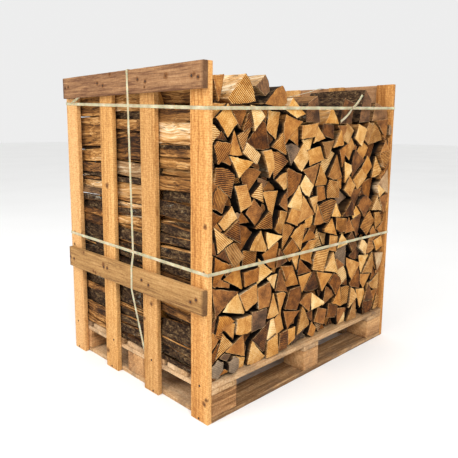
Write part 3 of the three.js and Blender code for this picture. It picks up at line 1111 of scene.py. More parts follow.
@dataclass
class SplitLog:
    """One split log: a section swept along the log, with fibrous sides and two sawn ends."""

    section: LogSection
    start: float
    end: float
    tone: LogTone
    saw_angle: float
    tilt: tuple[float, float] = (0.0, 0.0)
    rings: int = 6
    pith: tuple[float, float] = (0.0, 0.0)
    daylight: Daylight | None = None
    ruggedness: float = 1.0
    bow: float = 1.2 * MM
    end_slope: float = 0.05
    arris: float = 0.9 * MM
    rim: float = 3.0 * MM
    first_ring: float = 12 * MM
    end_ring: float = 3 * MM
    fuzz: float = 0.35 * MM
    sunk: float = 1.0 * MM
    sawn_reach: float = 15 * MM
    sawn_relief: float = 0.3

    def arrays(self, rng: np.random.Generator) -> tuple[np.ndarray, list[tuple[int, ...]], np.ndarray, dict]:
        """Build the log's mesh.

        Args:
            rng: the log's random numbers.

        Returns:
            Its points, faces, the material number of each face, and its point attributes.
        """
        outline = self.section.points
        count = len(outline)
        middle = outline.mean(axis=0)
        stations = self._stations()
        along = np.roll(outline, -1, axis=0) - np.roll(outline, 1, axis=0)
        normals = np.stack([along[:, 1], -along[:, 0]], axis=1)
        normals /= np.maximum(np.linalg.norm(normals, axis=1, keepdims=True), 1e-9)
        travel = np.concatenate([[0], np.cumsum(np.linalg.norm(np.diff(outline, axis=0), axis=1))])
        heave = self._heave(rng, travel, stations)
        bend = rng.normal(0, self.bow, 2)
        rows = []
        for j, y in enumerate(stations):
            share = (y - self.start) / (self.end - self.start)
            lean = np.array(self.tilt) * (y - (self.start + self.end) / 2)
            ring = outline + normals * heave[j][:, None] + lean + bend * 4 * share * (1 - share)
            rows.append(np.column_stack([ring[:, 0], np.full(count, y), ring[:, 1]]))
        caps = []
        for y, ring, inward in ((self.start, rows[0], 1), (self.end, rows[-1], -1)):
            slope = rng.uniform(-self.end_slope, self.end_slope, 2)
            flat = ring[:, [0, 2]].copy()
            ring[:, 1] = y + inward * self.arris + (flat - middle) @ slope
            centre = flat.mean(axis=0)
            away = flat - centre
            reach = np.linalg.norm(away, axis=1, keepdims=True)
            inner = centre + away * np.maximum(1 - self.rim / np.maximum(reach, 1e-6), 0.3)
            face = np.column_stack([inner[:, 0], y + (inner - middle) @ slope, inner[:, 1]])
            hub = np.array([[centre[0], y + (centre - middle) @ slope, centre[1]]])
            caps.append(np.concatenate([face, hub]))
        points = np.concatenate(rows + caps)
        rings = len(stations)
        faces = [tuple(reversed(face)) for face in sweep_faces(count, rings, ends=False)]
        bark = self.section.bark
        kinds = [2 if max(bark[k], bark[(k + 1) % count]) > 0.5 else 1 for k in range(count)]
        materials = kinds * (rings - 1)
        near, far, last = rings * count, rings * count + count + 1, (rings - 1) * count
        for k in range(count):
            m = (k + 1) % count
            faces += [(k, m, near + m, near + k), (near + k, near + m, near + count)]
            faces += [(last + m, last + k, far + k, far + m), (far + m, far + k, far + count)]
            materials += [0, 0, 0, 0]
        return points, faces, np.array(materials), self._attributes(points, count * rings, rings)

    def _stations(self) -> np.ndarray:
        """Give the rings' places along the log, with two close to each end."""
        inner = np.linspace(self.start + self.first_ring, self.end - self.first_ring, self.rings)
        near, far = [self.start, self.start + self.end_ring], [self.end - self.end_ring, self.end]
        return np.concatenate([near, inner, far])

    def _heave(self, rng: np.random.Generator, travel: np.ndarray, stations: np.ndarray) -> np.ndarray:
        """Give how far each side point stands off the outline: torn fibres, and lumps under bark.

        Args:
            rng: the log's random numbers.
            travel: each outline point's distance round the section.
            stations: each ring's place along the log.

        Returns:
            One row of distances for each ring, in metres.
        """
        grid_s, grid_y = np.meshgrid(travel, stations)
        fibres = np.zeros_like(grid_s)
        for wavelength in (47, 29, 17):
            around = 2 * math.pi / (wavelength * MM)
            slant = rng.normal() * 13
            fibres += np.sin(grid_s * around + grid_y * slant + rng.uniform(0, 6.3)) * wavelength * 0.022 * MM
        lumps = np.sin(grid_s * 190 + rng.uniform(0, 6)) * np.sin(grid_y * 90 + rng.uniform(0, 6)) * 1.6 * MM
        grain = rng.normal(0, self.fuzz, grid_s.shape)
        relief = (np.where(self.section.bark[None, :] > 0.5, lumps, fibres) - self.sunk) * self.ruggedness
        # The saw has cut through the relief, so the ends keep only a part of it
        from_end = np.minimum(grid_y - self.start, self.end - grid_y)
        inside = (from_end / self.sawn_reach).clip(self.sawn_relief, 1.0)
        return relief * inside + grain

    def _attributes(self, points: np.ndarray, side_points: int, rings: int) -> dict[str, np.ndarray]:
        """Give the point attributes that the wood materials read.

        Args:
            points: the log's points.
            side_points: how many of them lie on its sides.
            rings: how many rings those make.

        Returns:
            log_place, log_tone, log_cut and log_state.
        """
        count = len(points)
        place = np.column_stack([points[:, 0] - self.pith[0], points[:, 2] - self.pith[1], points[:, 1]])
        tone = np.tile((self.tone.end, self.tone.split, self.tone.seed), (count, 1))
        saw = points[:, 0] * math.cos(self.saw_angle) + points[:, 2] * math.sin(self.saw_angle)
        edge, bark, dark = np.zeros(count), np.zeros(count), np.zeros(count)
        edge[:side_points] = 1.0
        bark[:side_points] = np.tile(self.section.bark, rings)
        if self.daylight is not None:
            # Split and bark faces get painted shade, darker the deeper they lie in the row
            dark[:side_points] = self.daylight.painted_shade(points[:side_points])
            # The rims of the ends belong to the sawn face, so they get no painted shade
            ring = side_points // rings
            dark[:ring] = 0.0
            dark[side_points - ring : side_points] = 0.0
        state = np.column_stack([np.full(count, self.tone.grey), dark, np.full(count, self.tone.saw)])
        return {
            "log_place": place,
            "log_tone": tone,
            "log_cut": np.column_stack([saw, edge, bark]),
            "log_state": state,
        }


@dataclass
class LogHeap:
    """Logs that are joined into one mesh piece."""

    name: str
    materials: list[bpy.types.Material]
    points: list[np.ndarray] = field(default_factory=list)
    faces: list[tuple[int, ...]] = field(default_factory=list)
    kinds: list[np.ndarray] = field(default_factory=list)
    attributes: dict[str, list[np.ndarray]] = field(default_factory=dict)
    size: int = 0
    logs: int = 0

    def add(self, log: SplitLog, rng: np.random.Generator) -> None:
        """Add one log to the heap.

        Args:
            log: the log.
            rng: the log's random numbers.
        """
        points, faces, kinds, attributes = log.arrays(rng)
        self.points.append(points)
        self.faces += [tuple(i + self.size for i in face) for face in faces]
        self.kinds.append(kinds)
        for label, values in attributes.items():
            self.attributes.setdefault(label, []).append(values)
        self.size += len(points)
        self.logs += 1

    def build(self, *nodes: str) -> bpy.types.Object:
        """Make the heap's piece.

        Args:
            nodes: the CAD solids that it stands for.

        Returns:
            The piece.
        """
        merged = {label: np.concatenate(parts) for label, parts in self.attributes.items()}
        points, kinds = np.concatenate(self.points), np.concatenate(self.kinds)
        piece = make_object(self.name, points, self.faces, self.materials, kinds, merged)
        LOG.info("%s: %d logs, %d faces", self.name, self.logs, len(self.faces))
        return hand_over(piece, "firewood", *nodes)


def polygon_area(corners: np.ndarray) -> float:
    """Give a polygon's area, positive when it turns anticlockwise."""
    x, y = corners[:, 0], corners[:, 1]
    return float(np.sum(x * np.roll(y, -1) - np.roll(x, -1) * y) / 2)


def corner_angles(corners: np.ndarray) -> np.ndarray:
    """Give a polygon's inner angles, in degrees."""
    before = np.roll(corners, 1, axis=0) - corners
    after = np.roll(corners, -1, axis=0) - corners
    cross = after[:, 0] * before[:, 1] - after[:, 1] * before[:, 0]
    dot = (before * after).sum(axis=1)
    return np.degrees(np.arctan2(cross, dot)) % 360


def cut_polygon(
    corners: np.ndarray, flags: np.ndarray, normal: np.ndarray, limit: float, cut_flag: bool
) -> tuple[np.ndarray, np.ndarray]:
    """Cut off the part of a convex polygon that lies past a line.

    Args:
        corners: the polygon's corners, anticlockwise.
        flags: a flag for the side that starts at each corner.
        normal: the line's direction out of the kept part.
        limit: how far along the normal the kept part reaches.
        cut_flag: the flag of the side that the cut makes.

    Returns:
        The corners and flags of what is left.
    """
    room = limit - corners @ normal
    kept, kept_flags = [], []
    for i, start in enumerate(corners):
        j = (i + 1) % len(corners)
        if room[i] >= 0:
            kept.append(start)
            kept_flags.append(flags[i])
        if (room[i] >= 0) != (room[j] >= 0):
            share = room[i] / (room[i] - room[j])
            kept.append(start + (corners[j] - start) * share)
            kept_flags.append(cut_flag if room[i] >= 0 else flags[i])
    return np.array(kept).reshape(-1, 2), np.array(kept_flags, bool)


@dataclass(frozen=True)
class PlacedLog:
    """A round log whose place in the row is set: an oval of six sides, all of them bark."""

    share: float
    width: float
    height: float
    tone: LogTone
    turn: float = 0.0

    def corners(self, left: float, right: float, floor: float) -> np.ndarray:
        """Give the log's corners, with the log lying on the row's floor.

        Args:
            left: the row's left side.
            right: the row's right side.
            floor: the row's floor.

        Returns:
            The corners, anticlockwise.
        """
        around = np.arange(6) * math.pi / 3 + math.pi / 6
        oval = np.column_stack([np.cos(around) * self.width, np.sin(around) * self.height]) / 2
        cos, sin = math.cos(self.turn), math.sin(self.turn)
        turned = oval @ np.array([[cos, sin], [-sin, cos]])
        across = left + (right - left) * self.share
        return turned + (across, floor + MM - turned[:, 1].min())


@dataclass
class PressedStack:
    """Split-log sections that grow inside a row's face until they press against each other."""

    left: float
    right: float
    floor: float
    top_x: np.ndarray
    top_z: np.ndarray
    placed: tuple[PlacedLog, ...] = ()
    wall_relief: float = 11 * MM
    fill: float = 0.868
    rounds: int = 440
    gap: float = 1.8 * MM
    smallest: float = 1.5e-3
    largest: float = 6.9e-3
    smallest_gap: float = 9.5 * MM
    wall_band: float = 60 * MM
    # Sections start at a little over half their size and are full-grown after 60 % of the rounds
    first_size: float = 0.55
    growth: float = 0.45
    growing_share: float = 0.6
    parting: float = 0.55
    wall_parting: float = 0.8
    spin_share: float = 0.35
    rise_depth: float = 0.15
    rise: float = 0.12 * MM
    placed_weight: float = 1000.0
    least_log: float = 5e-4
    least_stick: float = 0.8e-4
    spot_margin: float = 6 * MM
    spot_step: float = 5 * MM
    stick_reach: float = 2.1
    stick_sides: int = 7
    near_stick: float = 0.05
    stick_spacing: float = 4 * MM
    wall_clear: float = 8 * MM
    narrow_gap: float = 2.6 * MM
    narrow_bonus: float = 7 * MM
    scatter: float = 9 * MM

    def pack(self, rng: np.random.Generator) -> list[tuple[np.ndarray, np.ndarray]]:
        """Pack the row.

        Args:
            rng: the row's random numbers.

        Returns:
            Each section's corners, and whether the side that starts at each corner is bark.
        """
        across = np.linspace(self.left, self.right, 200)
        area = float(np.mean(self._top(across) - self.floor)) * (self.right - self.left)
        corners_of = [log.corners(self.left, self.right, self.floor) for log in self.placed]
        shapes = [corners - corners.mean(axis=0) for corners in corners_of]
        barky = [np.ones(6, bool) for _ in self.placed]
        total = sum(polygon_area(shape) for shape in shapes)
        while total < area * self.fill:
            corners, bark = self._shape(rng)
            size = polygon_area(corners)
            if self.smallest < size < self.largest:
                shapes.append(corners)
                barky.append(bark)
                total += size
        self.shapes = np.array(shapes)
        self.areas = np.array([polygon_area(shape) for shape in shapes])
        self.radius = np.linalg.norm(self.shapes, axis=2).max(axis=1)
        self.place = self._grid(len(shapes), area, rng)
        self.turn = rng.uniform(0, 2 * math.pi, len(shapes))
        self.phases = rng.uniform(0, 2 * math.pi, 4)[:2]
        for k, corners in enumerate(corners_of):
            self.place[k], self.turn[k] = corners.mean(axis=0), 0.0
            self.areas[k] *= self.placed_weight  # far too heavy for its neighbours to move
        for step in range(self.rounds):
            grown = self.first_size + self.growth * step / (self.rounds * self.growing_share)
            self._relax(min(1.0, grown))
        pieces = self._trimmed(barky)
        return pieces + self._sticks(pieces, rng)

    def _top(self, x: np.ndarray) -> np.ndarray:
        """Give the height of the row's tips."""
        return np.interp(x, self.top_x, self.top_z)

    def _relief(self, z: np.ndarray, phase: float) -> np.ndarray:
        """Give how far the logs at a height stay behind the panel: no two lie flush with it."""
        waves = np.sin(z * 2 * math.pi / 0.23 + phase) + 0.7 * np.sin(z * 2 * math.pi / 0.121 + phase * 3)
        return self.wall_relief * (waves / 1.7 + 1)

    def _shape(self, rng: np.random.Generator) -> tuple[np.ndarray, np.ndarray]:
        """Draw one section of six corners: a wedge split from a round log, or a four-sided piece.

        Args:
            rng: the row's random numbers.

        Returns:
            The corners, and whether the side that starts at each is bark.
        """
        bark = np.zeros(6, bool)
        if rng.uniform() < 0.64:
            reach = rng.uniform(70, 117) * MM
            half = math.radians(rng.uniform(18, 35))
            tip = rng.uniform(0.02, 0.3) * reach if rng.uniform() < 0.55 else 1.5 * MM
            skew = rng.uniform(-0.16, 0.16)
            turns = np.linspace(-half, half, 4)
            rim = [np.array([math.cos(a), math.sin(a)]) * reach * (1 + skew * a / half) for a in turns]
            if rng.uniform() < 0.58:
                bark[2:5] = rng.uniform() < 0.75
            else:
                rim[1], rim[2] = rim[0] + (rim[3] - rim[0]) / 3, rim[0] + (rim[3] - rim[0]) * 2 / 3
            corners = np.array([np.array([math.cos(a), math.sin(a)]) * tip for a in (half, -half)] + rim)
        else:
            size = np.array([rng.uniform(44, 78), rng.uniform(54, 98)]) * MM
            quad = np.array([[-1, -1], [1, -1], [1, 1], [-1, 1]]) * size / 2 * rng.uniform(0.66, 1.16, (4, 2))
            side = quad[2] - quad[1]
            out = np.array([side[1], -side[0]])
            bow = rng.uniform(0.05, 0.16) if rng.uniform() < 0.5 else 0.0
            rim = [quad[1] + side * t + out * bow * 4 * t * (1 - t) for t in (1 / 3, 2 / 3)]
            corners = np.array([quad[0], quad[1], rim[0], rim[1], quad[2], quad[3]])
            bark[1:4] = bow > 0.07
        return corners - corners.mean(axis=0), bark

    def _grid(self, count: int, area: float, rng: np.random.Generator) -> np.ndarray:
        """Give the sections' first places: a loose brick pattern over the face."""
        width = self.right - self.left
        columns = round(math.sqrt(count * width**2 / area))
        rows = math.ceil(count / columns)
        row, column = np.divmod(np.arange(count), columns)
        x = self.left + width * (column + 0.25 + 0.5 * (row % 2)) / columns
        z = self.floor + (self._top(x) - self.floor) * (row + 0.5) / rows
        return np.column_stack([x, z]) + rng.normal(0, self.scatter, (count, 2))

    def _world(self, grown: float) -> np.ndarray:
        """Give every section's corners where they now lie."""
        cos, sin = np.cos(self.turn)[:, None], np.sin(self.turn)[:, None]
        x, z = self.shapes[..., 0] * grown, self.shapes[..., 1] * grown
        return np.stack([x * cos - z * sin, x * sin + z * cos], axis=2) + self.place[:, None, :]

    def _touching(self, world: np.ndarray, grown: float) -> tuple[np.ndarray, ...]:
        """Find the pairs of sections that may touch, and the side of one that best parts them.

        Args:
            world: every section's corners.
            grown: how large the sections are now.

        Returns:
            Owner of the parting side, other section, gap between them, side's normal and nearest corner.
        """
        away = self.place[:, None, :] - self.place[None, :, :]
        near = np.hypot(away[..., 0], away[..., 1]) < (self.radius[:, None] + self.radius[None, :]) * grown
        first, second = np.where(np.triu(near, 1))
        sides = np.roll(world, -1, axis=1) - world
        length = np.linalg.norm(sides, axis=2)
        normals = np.stack([sides[..., 1], -sides[..., 0]], axis=2) / np.maximum(length, 1e-9)[..., None]
        tests = []
        for owner, other in ((first, second), (second, first)):
            reach = np.einsum("pkd,pmd->pkm", normals[owner], world[other])
            gaps = reach.min(axis=2) - np.einsum("pkd,pkd->pk", normals[owner], world[owner])
            best = gaps.argmax(axis=1)
            pair = np.arange(len(owner))
            corner = reach[pair, best].argmin(axis=1)
            normal, nearest = normals[owner][pair, best], world[other][pair, corner]
            tests.append((owner, other, gaps[pair, best], normal, nearest))
        better = tests[0][2] >= tests[1][2]
        return tuple(
            np.where(better[:, None] if a.ndim == 2 else better, a, b) for a, b in zip(tests[0], tests[1])
        )

    def _relax(self, grown: float) -> None:
        """Push overlapping sections apart and back inside the row's face, turning them as they touch."""
        world = self._world(grown)
        inertia = self.areas * (self.radius * grown) ** 2 * self.spin_share
        owner, other, gap, normal, corner = self._touching(world, grown)
        hit = gap < 0
        owner, other, gap, normal, corner = owner[hit], other[hit], gap[hit], normal[hit], corner[hit]
        levers, give = [], 0.0
        for piece in (owner, other):
            arm = corner - self.place[piece]
            levers.append(arm[:, 0] * normal[:, 1] - arm[:, 1] * normal[:, 0])
            give = give + 1 / self.areas[piece] + levers[-1] ** 2 / inertia[piece]
        push = -gap / give * self.parting
        # The logs near the top settle upwards a little, to meet the loose logs that lie on them
        depth = self._top(self.place[:, 0]) - self.place[:, 1]
        self.place[:, 1] += np.where((depth < self.rise_depth) & (self.areas < 1), self.rise, 0.0)
        for piece, lever, sign in ((owner, levers[0], -1), (other, levers[1], 1)):
            np.add.at(self.place, piece, sign * normal * (push / self.areas[piece])[:, None])
            np.add.at(self.turn, piece, sign * push * lever / inertia[piece])
        for axis, sign, bound in (
            (0, 1, self.left + self._relief(world[..., 1], self.phases[0])),
            (0, -1, self.right - self._relief(world[..., 1], self.phases[1])),
            (1, 1, self.floor),
            (1, -1, self._top(world[..., 0])),
        ):
            over = (bound - world[..., axis]) * sign
            worst = over.argmax(axis=1)
            piece = np.where(over.max(axis=1) > 0)[0]
            arm = world[piece, worst[piece]] - self.place[piece]
            lever = arm[:, 1 - axis] * sign * (1 if axis == 1 else -1)
            push = over[piece, worst[piece]] / (1 / self.areas[piece] + lever**2 / inertia[piece])
            push *= self.wall_parting
            self.place[piece, axis] += sign * push / self.areas[piece]
            self.turn[piece] += push * lever / inertia[piece]

    def _trimmed(self, barky: list[np.ndarray]) -> list[tuple[np.ndarray, np.ndarray]]:
        """Shave what still overlaps, so that a small gap is left between all sections.

        Args:
            barky: the bark flags of each section's sides.

        Returns:
            Each section's corners and bark flags.
        """
        world = list(self._world(1.0))
        flags = list(barky)
        owner, other, gap, normal, _ = self._touching(self._world(1.0), 1.0)
        for a, b, room, side in zip(owner, other, gap, normal):
            if room < self.gap and len(world[a]) > 2 and len(world[b]) > 2:
                limit = float((world[b] @ side).min()) - self.gap
                corners = world[a]
                reach = (corners @ side).max()
                on_side = np.isclose(corners @ side, reach, atol=1e-5)
                cut_flag = bool(flags[a][on_side].all())
                world[a], flags[a] = cut_polygon(corners, flags[a], side, limit, cut_flag)
        for axis, sign, bound in ((0, -1, -self.left), (0, 1, self.right), (1, -1, -self.floor)):
            line = np.zeros(2)
            line[axis] = sign
            for k, corners in enumerate(world):
                if len(corners) > 2:
                    world[k], flags[k] = cut_polygon(corners, flags[k], line, bound - self.gap, False)
        return [(c, f) for c, f in zip(world, flags) if len(c) > 2 and polygon_area(c) > self.least_log]

    def _sticks(
        self, pieces: list[tuple[np.ndarray, np.ndarray]], rng: np.random.Generator
    ) -> list[tuple[np.ndarray, np.ndarray]]:
        """Fill the widest gaps with thin sticks, each cut to the gap that it lies in.

        Args:
            pieces: the sections already in the row.
            rng: the row's random numbers.

        Returns:
            The sticks' corners and bark flags.
        """
        across = np.arange(self.left + self.spot_margin, self.right - self.spot_margin, self.spot_step)
        up = np.arange(self.floor + self.spot_margin, self.top_z.max(), self.spot_step)
        spots = np.array([(x, z) for x in across for z in up])
        clear = self._top(spots[:, 0]) - spots[:, 1]
        from_wall = np.minimum(spots[:, 0] - self.left, self.right - spots[:, 0])
        clear = np.minimum(clear, from_wall - self.wall_clear)
        clear = np.minimum(clear, spots[:, 1] - self.floor)
        for corners, _ in pieces:
            clear = np.minimum(clear, self._distance(corners, spots))
        # By the panels, where one can look in along the logs, narrower gaps are filled too
        narrow = (from_wall < self.wall_band) & (clear > self.narrow_gap)
        clear = np.where(narrow, clear + self.narrow_bonus, clear)
        sticks = []
        while clear.max() > self.smallest_gap:
            centre = spots[clear.argmax()]
            reach = float(clear.max()) * self.stick_reach
            angles = np.arange(self.stick_sides) * 2 * math.pi / self.stick_sides + rng.uniform(0, 1)
            stick = centre + np.column_stack([np.cos(angles), np.sin(angles)]) * reach
            bark = np.zeros(self.stick_sides, bool)
            for corners, _ in pieces + sticks:
                if np.linalg.norm(corners - centre, axis=1).min() > reach * 2 + self.near_stick:
                    continue
                normals, limits = self._edges(corners)
                best = (normals @ centre - limits).argmax()
                stick, bark = cut_polygon(stick, bark, -normals[best], -limits[best] - self.gap, False)
            for normal, limit in (((-1, 0), -self.left), ((1, 0), self.right), ((0, -1), -self.floor)):
                stick, bark = cut_polygon(stick, bark, np.array(normal), limit - self.gap, False)
            top = float(self._top(centre[:1])[0])
            stick, bark = cut_polygon(stick, bark, np.array([0.0, 1.0]), top, False)
            sticks.append((stick, bark))
            clear = np.minimum(clear, self._distance(stick, spots))
            clear[np.linalg.norm(spots - centre, axis=1) < self.stick_spacing] = 0.0
        return [(c, f) for c, f in sticks if polygon_area(c) > self.least_stick]

    def _edges(self, corners: np.ndarray) -> tuple[np.ndarray, np.ndarray]:
        """Give a convex polygon's outward side normals, and how far along each its side lies."""
        sides = np.roll(corners, -1, axis=0) - corners
        keep = np.linalg.norm(sides, axis=1) > 1e-6
        sides, starts = sides[keep], corners[keep]
        normals = np.column_stack([sides[:, 1], -sides[:, 0]]) / np.linalg.norm(sides, axis=1)[:, None]
        return normals, (normals * starts).sum(axis=1)

    def _distance(self, corners: np.ndarray, spots: np.ndarray) -> np.ndarray:
        """Give how far outside a convex polygon each spot lies."""
        normals, limits = self._edges(corners)
        return (spots @ normals.T - limits).max(axis=1)


@dataclass
class StackedRow:
    """One row of stacked logs."""

    node: str
    seed: int
    parts: int = 3
    step: float = 8 * MM
    proud: float = 0.0
    placed: tuple[PlacedLog, ...] = ()
    beside_panel: float = 0.085
    proud_band: float = 0.075
    strap_margin: float = 0.05
    exposed_depth: float = 0.1
    stick_area: float = 1.4e-3
    tip_margin: float = 1.5 * MM
    recess_shape: float = 1.5
    recess_scale: float = 5.2 * MM
    most_recess: float = 45 * MM
    panel_recess: tuple[float, float] = (9 * MM, 4 * MM)
    stick_recess: tuple[float, float] = (14, 40)
    low_share: float = 0.62

    def build(self, materials: list[bpy.types.Material]) -> list[bpy.types.Object]:
        """Make the row's logs, joined into a few pieces from left to right.

        Args:
            materials: end grain, split face and bark.

        Returns:
            The pieces.
        """
        rng = np.random.default_rng(self.seed)
        corners = node_points(self.node)
        floor = corners[:, 2].min()
        left, right = corners[:, 0].min(), corners[:, 0].max()
        upper = corners[corners[:, 2] > floor + 0.01]
        upper = upper[np.argsort(upper[:, 0])]
        self.daylight = Daylight(
            left, right, corners[:, 1].min(), corners[:, 1].max(), upper[:, 0], upper[:, 2]
        )
        stack = PressedStack(left, right, floor, upper[:, 0], upper[:, 2] + self.tip_margin, self.placed)
        heaps = [LogHeap(f"{self.node}_logs_{i + 1}", materials) for i in range(self.parts)]
        for i, (outline, barky) in enumerate(stack.pack(rng)):
            share = (outline[:, 0].mean() - left) / (right - left)
            tone = self.placed[i].tone if i < len(self.placed) else LogTone.drawn(rng)
            log = self._log(outline, barky, tone, rng)
            heaps[min(self.parts - 1, int(share * self.parts))].add(log, rng)
        return [heap.build(self.node) for heap in heaps]

    def _log(
        self, outline: np.ndarray, barky: np.ndarray, tone: LogTone, rng: np.random.Generator
    ) -> SplitLog:
        """Make the log that has one packed section.

        Args:
            outline: the section's corners.
            barky: whether the side that starts at each corner is bark.
            tone: the log's colouring.
            rng: the row's random numbers.

        Returns:
            The log.
        """
        light = self.daylight
        middle = outline.mean(axis=0)
        beside = min(middle[0] - light.left, light.right - middle[0]) < self.beside_panel
        low_down = middle[1] < float(light.top_z.mean()) * self.low_share
        if beside and rng.uniform() < (0.6 if low_down else 0.3):
            # Many logs by the panels lie with their bark to the outside, most of them low down
            outwards = -1.0 if middle[0] < 0 else 1.0
            sides = np.roll(outline, -1, axis=0) - outline
            facing = sides[:, 1] * outwards / np.maximum(np.linalg.norm(sides, axis=1), 1e-9)
            barky = barky | (facing > 0.3)
        section = LogSection.from_corners(outline, barky, rng, self.step)
        top = float(np.interp(middle[0], light.top_x, light.top_z))
        exposed = beside or middle[1] > top - self.exposed_depth
        recess, back = rng.gamma(self.recess_shape, self.recess_scale, 2).clip(0, self.most_recess)
        if polygon_area(outline) < self.stick_area:
            # Thin sticks have slid back into the gaps that they lie in
            recess = rng.uniform(*self.stick_recess) * MM
            # Their end and split tones are darkened too: painted shade for the gaps that they sit back in
            tone = LogTone(tone.end * 0.6, tone.split * 0.5, tone.grey, tone.saw, tone.seed)
        if beside:
            recess, back = min(recess, self.panel_recess[0]), min(back, self.panel_recess[1])
        start = light.front + recess
        # Logs by the right panel stick out past its front slat, between the two level straps
        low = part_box("strap_lower")[1].z + self.strap_margin
        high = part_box("strap_upper")[0].z - self.strap_margin
        if self.proud and low < middle[1] < high and middle[0] > light.right - self.proud_band:
            start = light.front - self.proud * rng.uniform(0.5, 1.0)
        sharpest = int(np.argmin(corner_angles(outline)))
        return SplitLog(
            section,
            start,
            light.back - back,
            tone,
            rng.uniform(0, math.pi),
            tilt=tuple(rng.normal(0, 1, 2) * ((0.018, 0.034) if beside else (0.011, 0.011))),
            rings=16 if exposed else 3,
            pith=tuple(outline[sharpest] + (outline[sharpest] - middle) * rng.uniform(-0.2, 0.6)),
            daylight=light,
            ruggedness=1.7 if exposed else 1.0,
        )


@dataclass
class TopLog:
    """A loose log on top of a row, in the place of its own CAD solid."""

    node: str
    seed: int
    tone: LogTone
    step: float = 7 * MM

    def build(self, materials: list[bpy.types.Material]) -> bpy.types.Object:
        """Make the log.

        Args:
            materials: end grain, split face and bark.

        Returns:
            The log.
        """
        rng = np.random.default_rng(self.seed)
        solid = node_points(self.node)
        front, back = solid[:, 1].min(), solid[:, 1].max()
        ring = solid[np.abs(solid[:, 1] - front) < 1e-5][:, [0, 2]]
        middle = ring.mean(axis=0)
        ring = ring[np.argsort(np.arctan2(ring[:, 1] - middle[1], ring[:, 0] - middle[0]))]
        # Where the outline turns only a little from corner to corner, it is the log's round bark side
        gentle = np.abs(180 - corner_angles(ring)) < 30
        barky = gentle | np.roll(gentle, -1)
        log = SplitLog(
            LogSection.from_corners(ring, barky, rng, self.step),
            front,
            back,
            self.tone,
            rng.uniform(0, math.pi),
            rings=18,
            pith=tuple(ring[int(np.argmin(corner_angles(ring)))]),
            ruggedness=1.3,
        )
        heap = LogHeap(f"{self.node}_split", materials)
        heap.add(log, rng)
        return heap.build(self.node)


@dataclass
class Firewood:
    """All the logs: three stacked rows and the loose logs on them."""

    counts: dict[str, int] = field(default_factory=lambda: {"front": 10, "middle": 4, "rear": 4})
    # Front top logs 6, 8 and 9, towards the right panel, have dark ends: painted shade for the shadow that
    # they lie in
    own_tones: dict[str, LogTone] = field(
        default_factory=lambda: {
            "top_log_front_1": LogTone(0.42, 0.5, 0.1, 0.3),
            "top_log_front_2": LogTone(0.5, 0.92, 0.0, 1.5, 2.0),
            "top_log_front_3": LogTone(0.12, 0.75, 0.4, 0.9, 3.0),
            "top_log_front_4": LogTone(0.4, 0.7, 0.1, 0.6, 4.0),
            "top_log_front_5": LogTone(0.7, 0.8, 0.0, 0.2, 5.0),
            "top_log_front_6": LogTone(0.10, 0.3, 0.3, 0.3, 5.5),
            "top_log_front_7": LogTone(0.62, 0.6, 0.0, 0.3, 6.5),
            "top_log_front_8": LogTone(0.12, 0.25, 0.2, 0.3, 7.5),
            "top_log_front_9": LogTone(0.10, 0.25, 0.35, 0.3, 8.5),
            "top_log_front_10": LogTone(0.30, 0.4, 0.4, 0.3, 9.5),
        }
    )
    # Two small round logs with grey ends lie by the left panel, and a slab of bark leans mid-way
    placed: tuple[PlacedLog, ...] = (
        PlacedLog(0.035, 60 * MM, 66 * MM, LogTone(0.35, 0.4, 0.9, 0.3, 6.0)),
        PlacedLog(0.095, 52 * MM, 62 * MM, LogTone(0.3, 0.4, 0.85, 0.3, 7.0)),
        PlacedLog(0.45, 120 * MM, 34 * MM, LogTone(0.05, 0.2, 0.5, 0.2, 8.0), math.radians(25)),
    )

    def build(self) -> list[bpy.types.Object]:
        """Make the rows and the top logs.

        Returns:
            The firewood's pieces.
        """
        materials = [SawnEndGrain().build(), SplitHardwood().build(), HardwoodBark().build()]
        pieces = []
        for row, seed in (("front", 11), ("middle", 23), ("rear", 37)):
            front_only = {"proud": 11 * MM, "placed": self.placed} if row == "front" else {}
            pieces += StackedRow(f"firewood_row_{row}", seed, **front_only).build(materials)
        for row, count in self.counts.items():
            for i in range(count):
                node = f"top_log_{row}_{i + 1}"
                drawn = LogTone.drawn(np.random.default_rng(900 + len(pieces)))
                tone = self.own_tones.get(node, drawn)
                pieces.append(TopLog(node, 300 + len(pieces), tone).build(materials))
        return pieces


# ---------------------------------------------------------------------------------------------------
# Straps
# ---------------------------------------------------------------------------------------------------


@dataclass(frozen=True)
class LooseTail:
    """A cut end of strap: its length, the angle it leaves at, and how far it droops and stands off."""

    length: float
    angle: float
    droop: float = 4 * MM
    stand_off: float = 9 * MM


@dataclass(frozen=True)
class StrapEnd:
    """A place on a strap's loop where cut ends hang: on which side, level with which node, knotted or not."""

    outward: tuple[float, float, float]
    beside: str
    tails: tuple[LooseTail, ...]
    knotted: bool = True


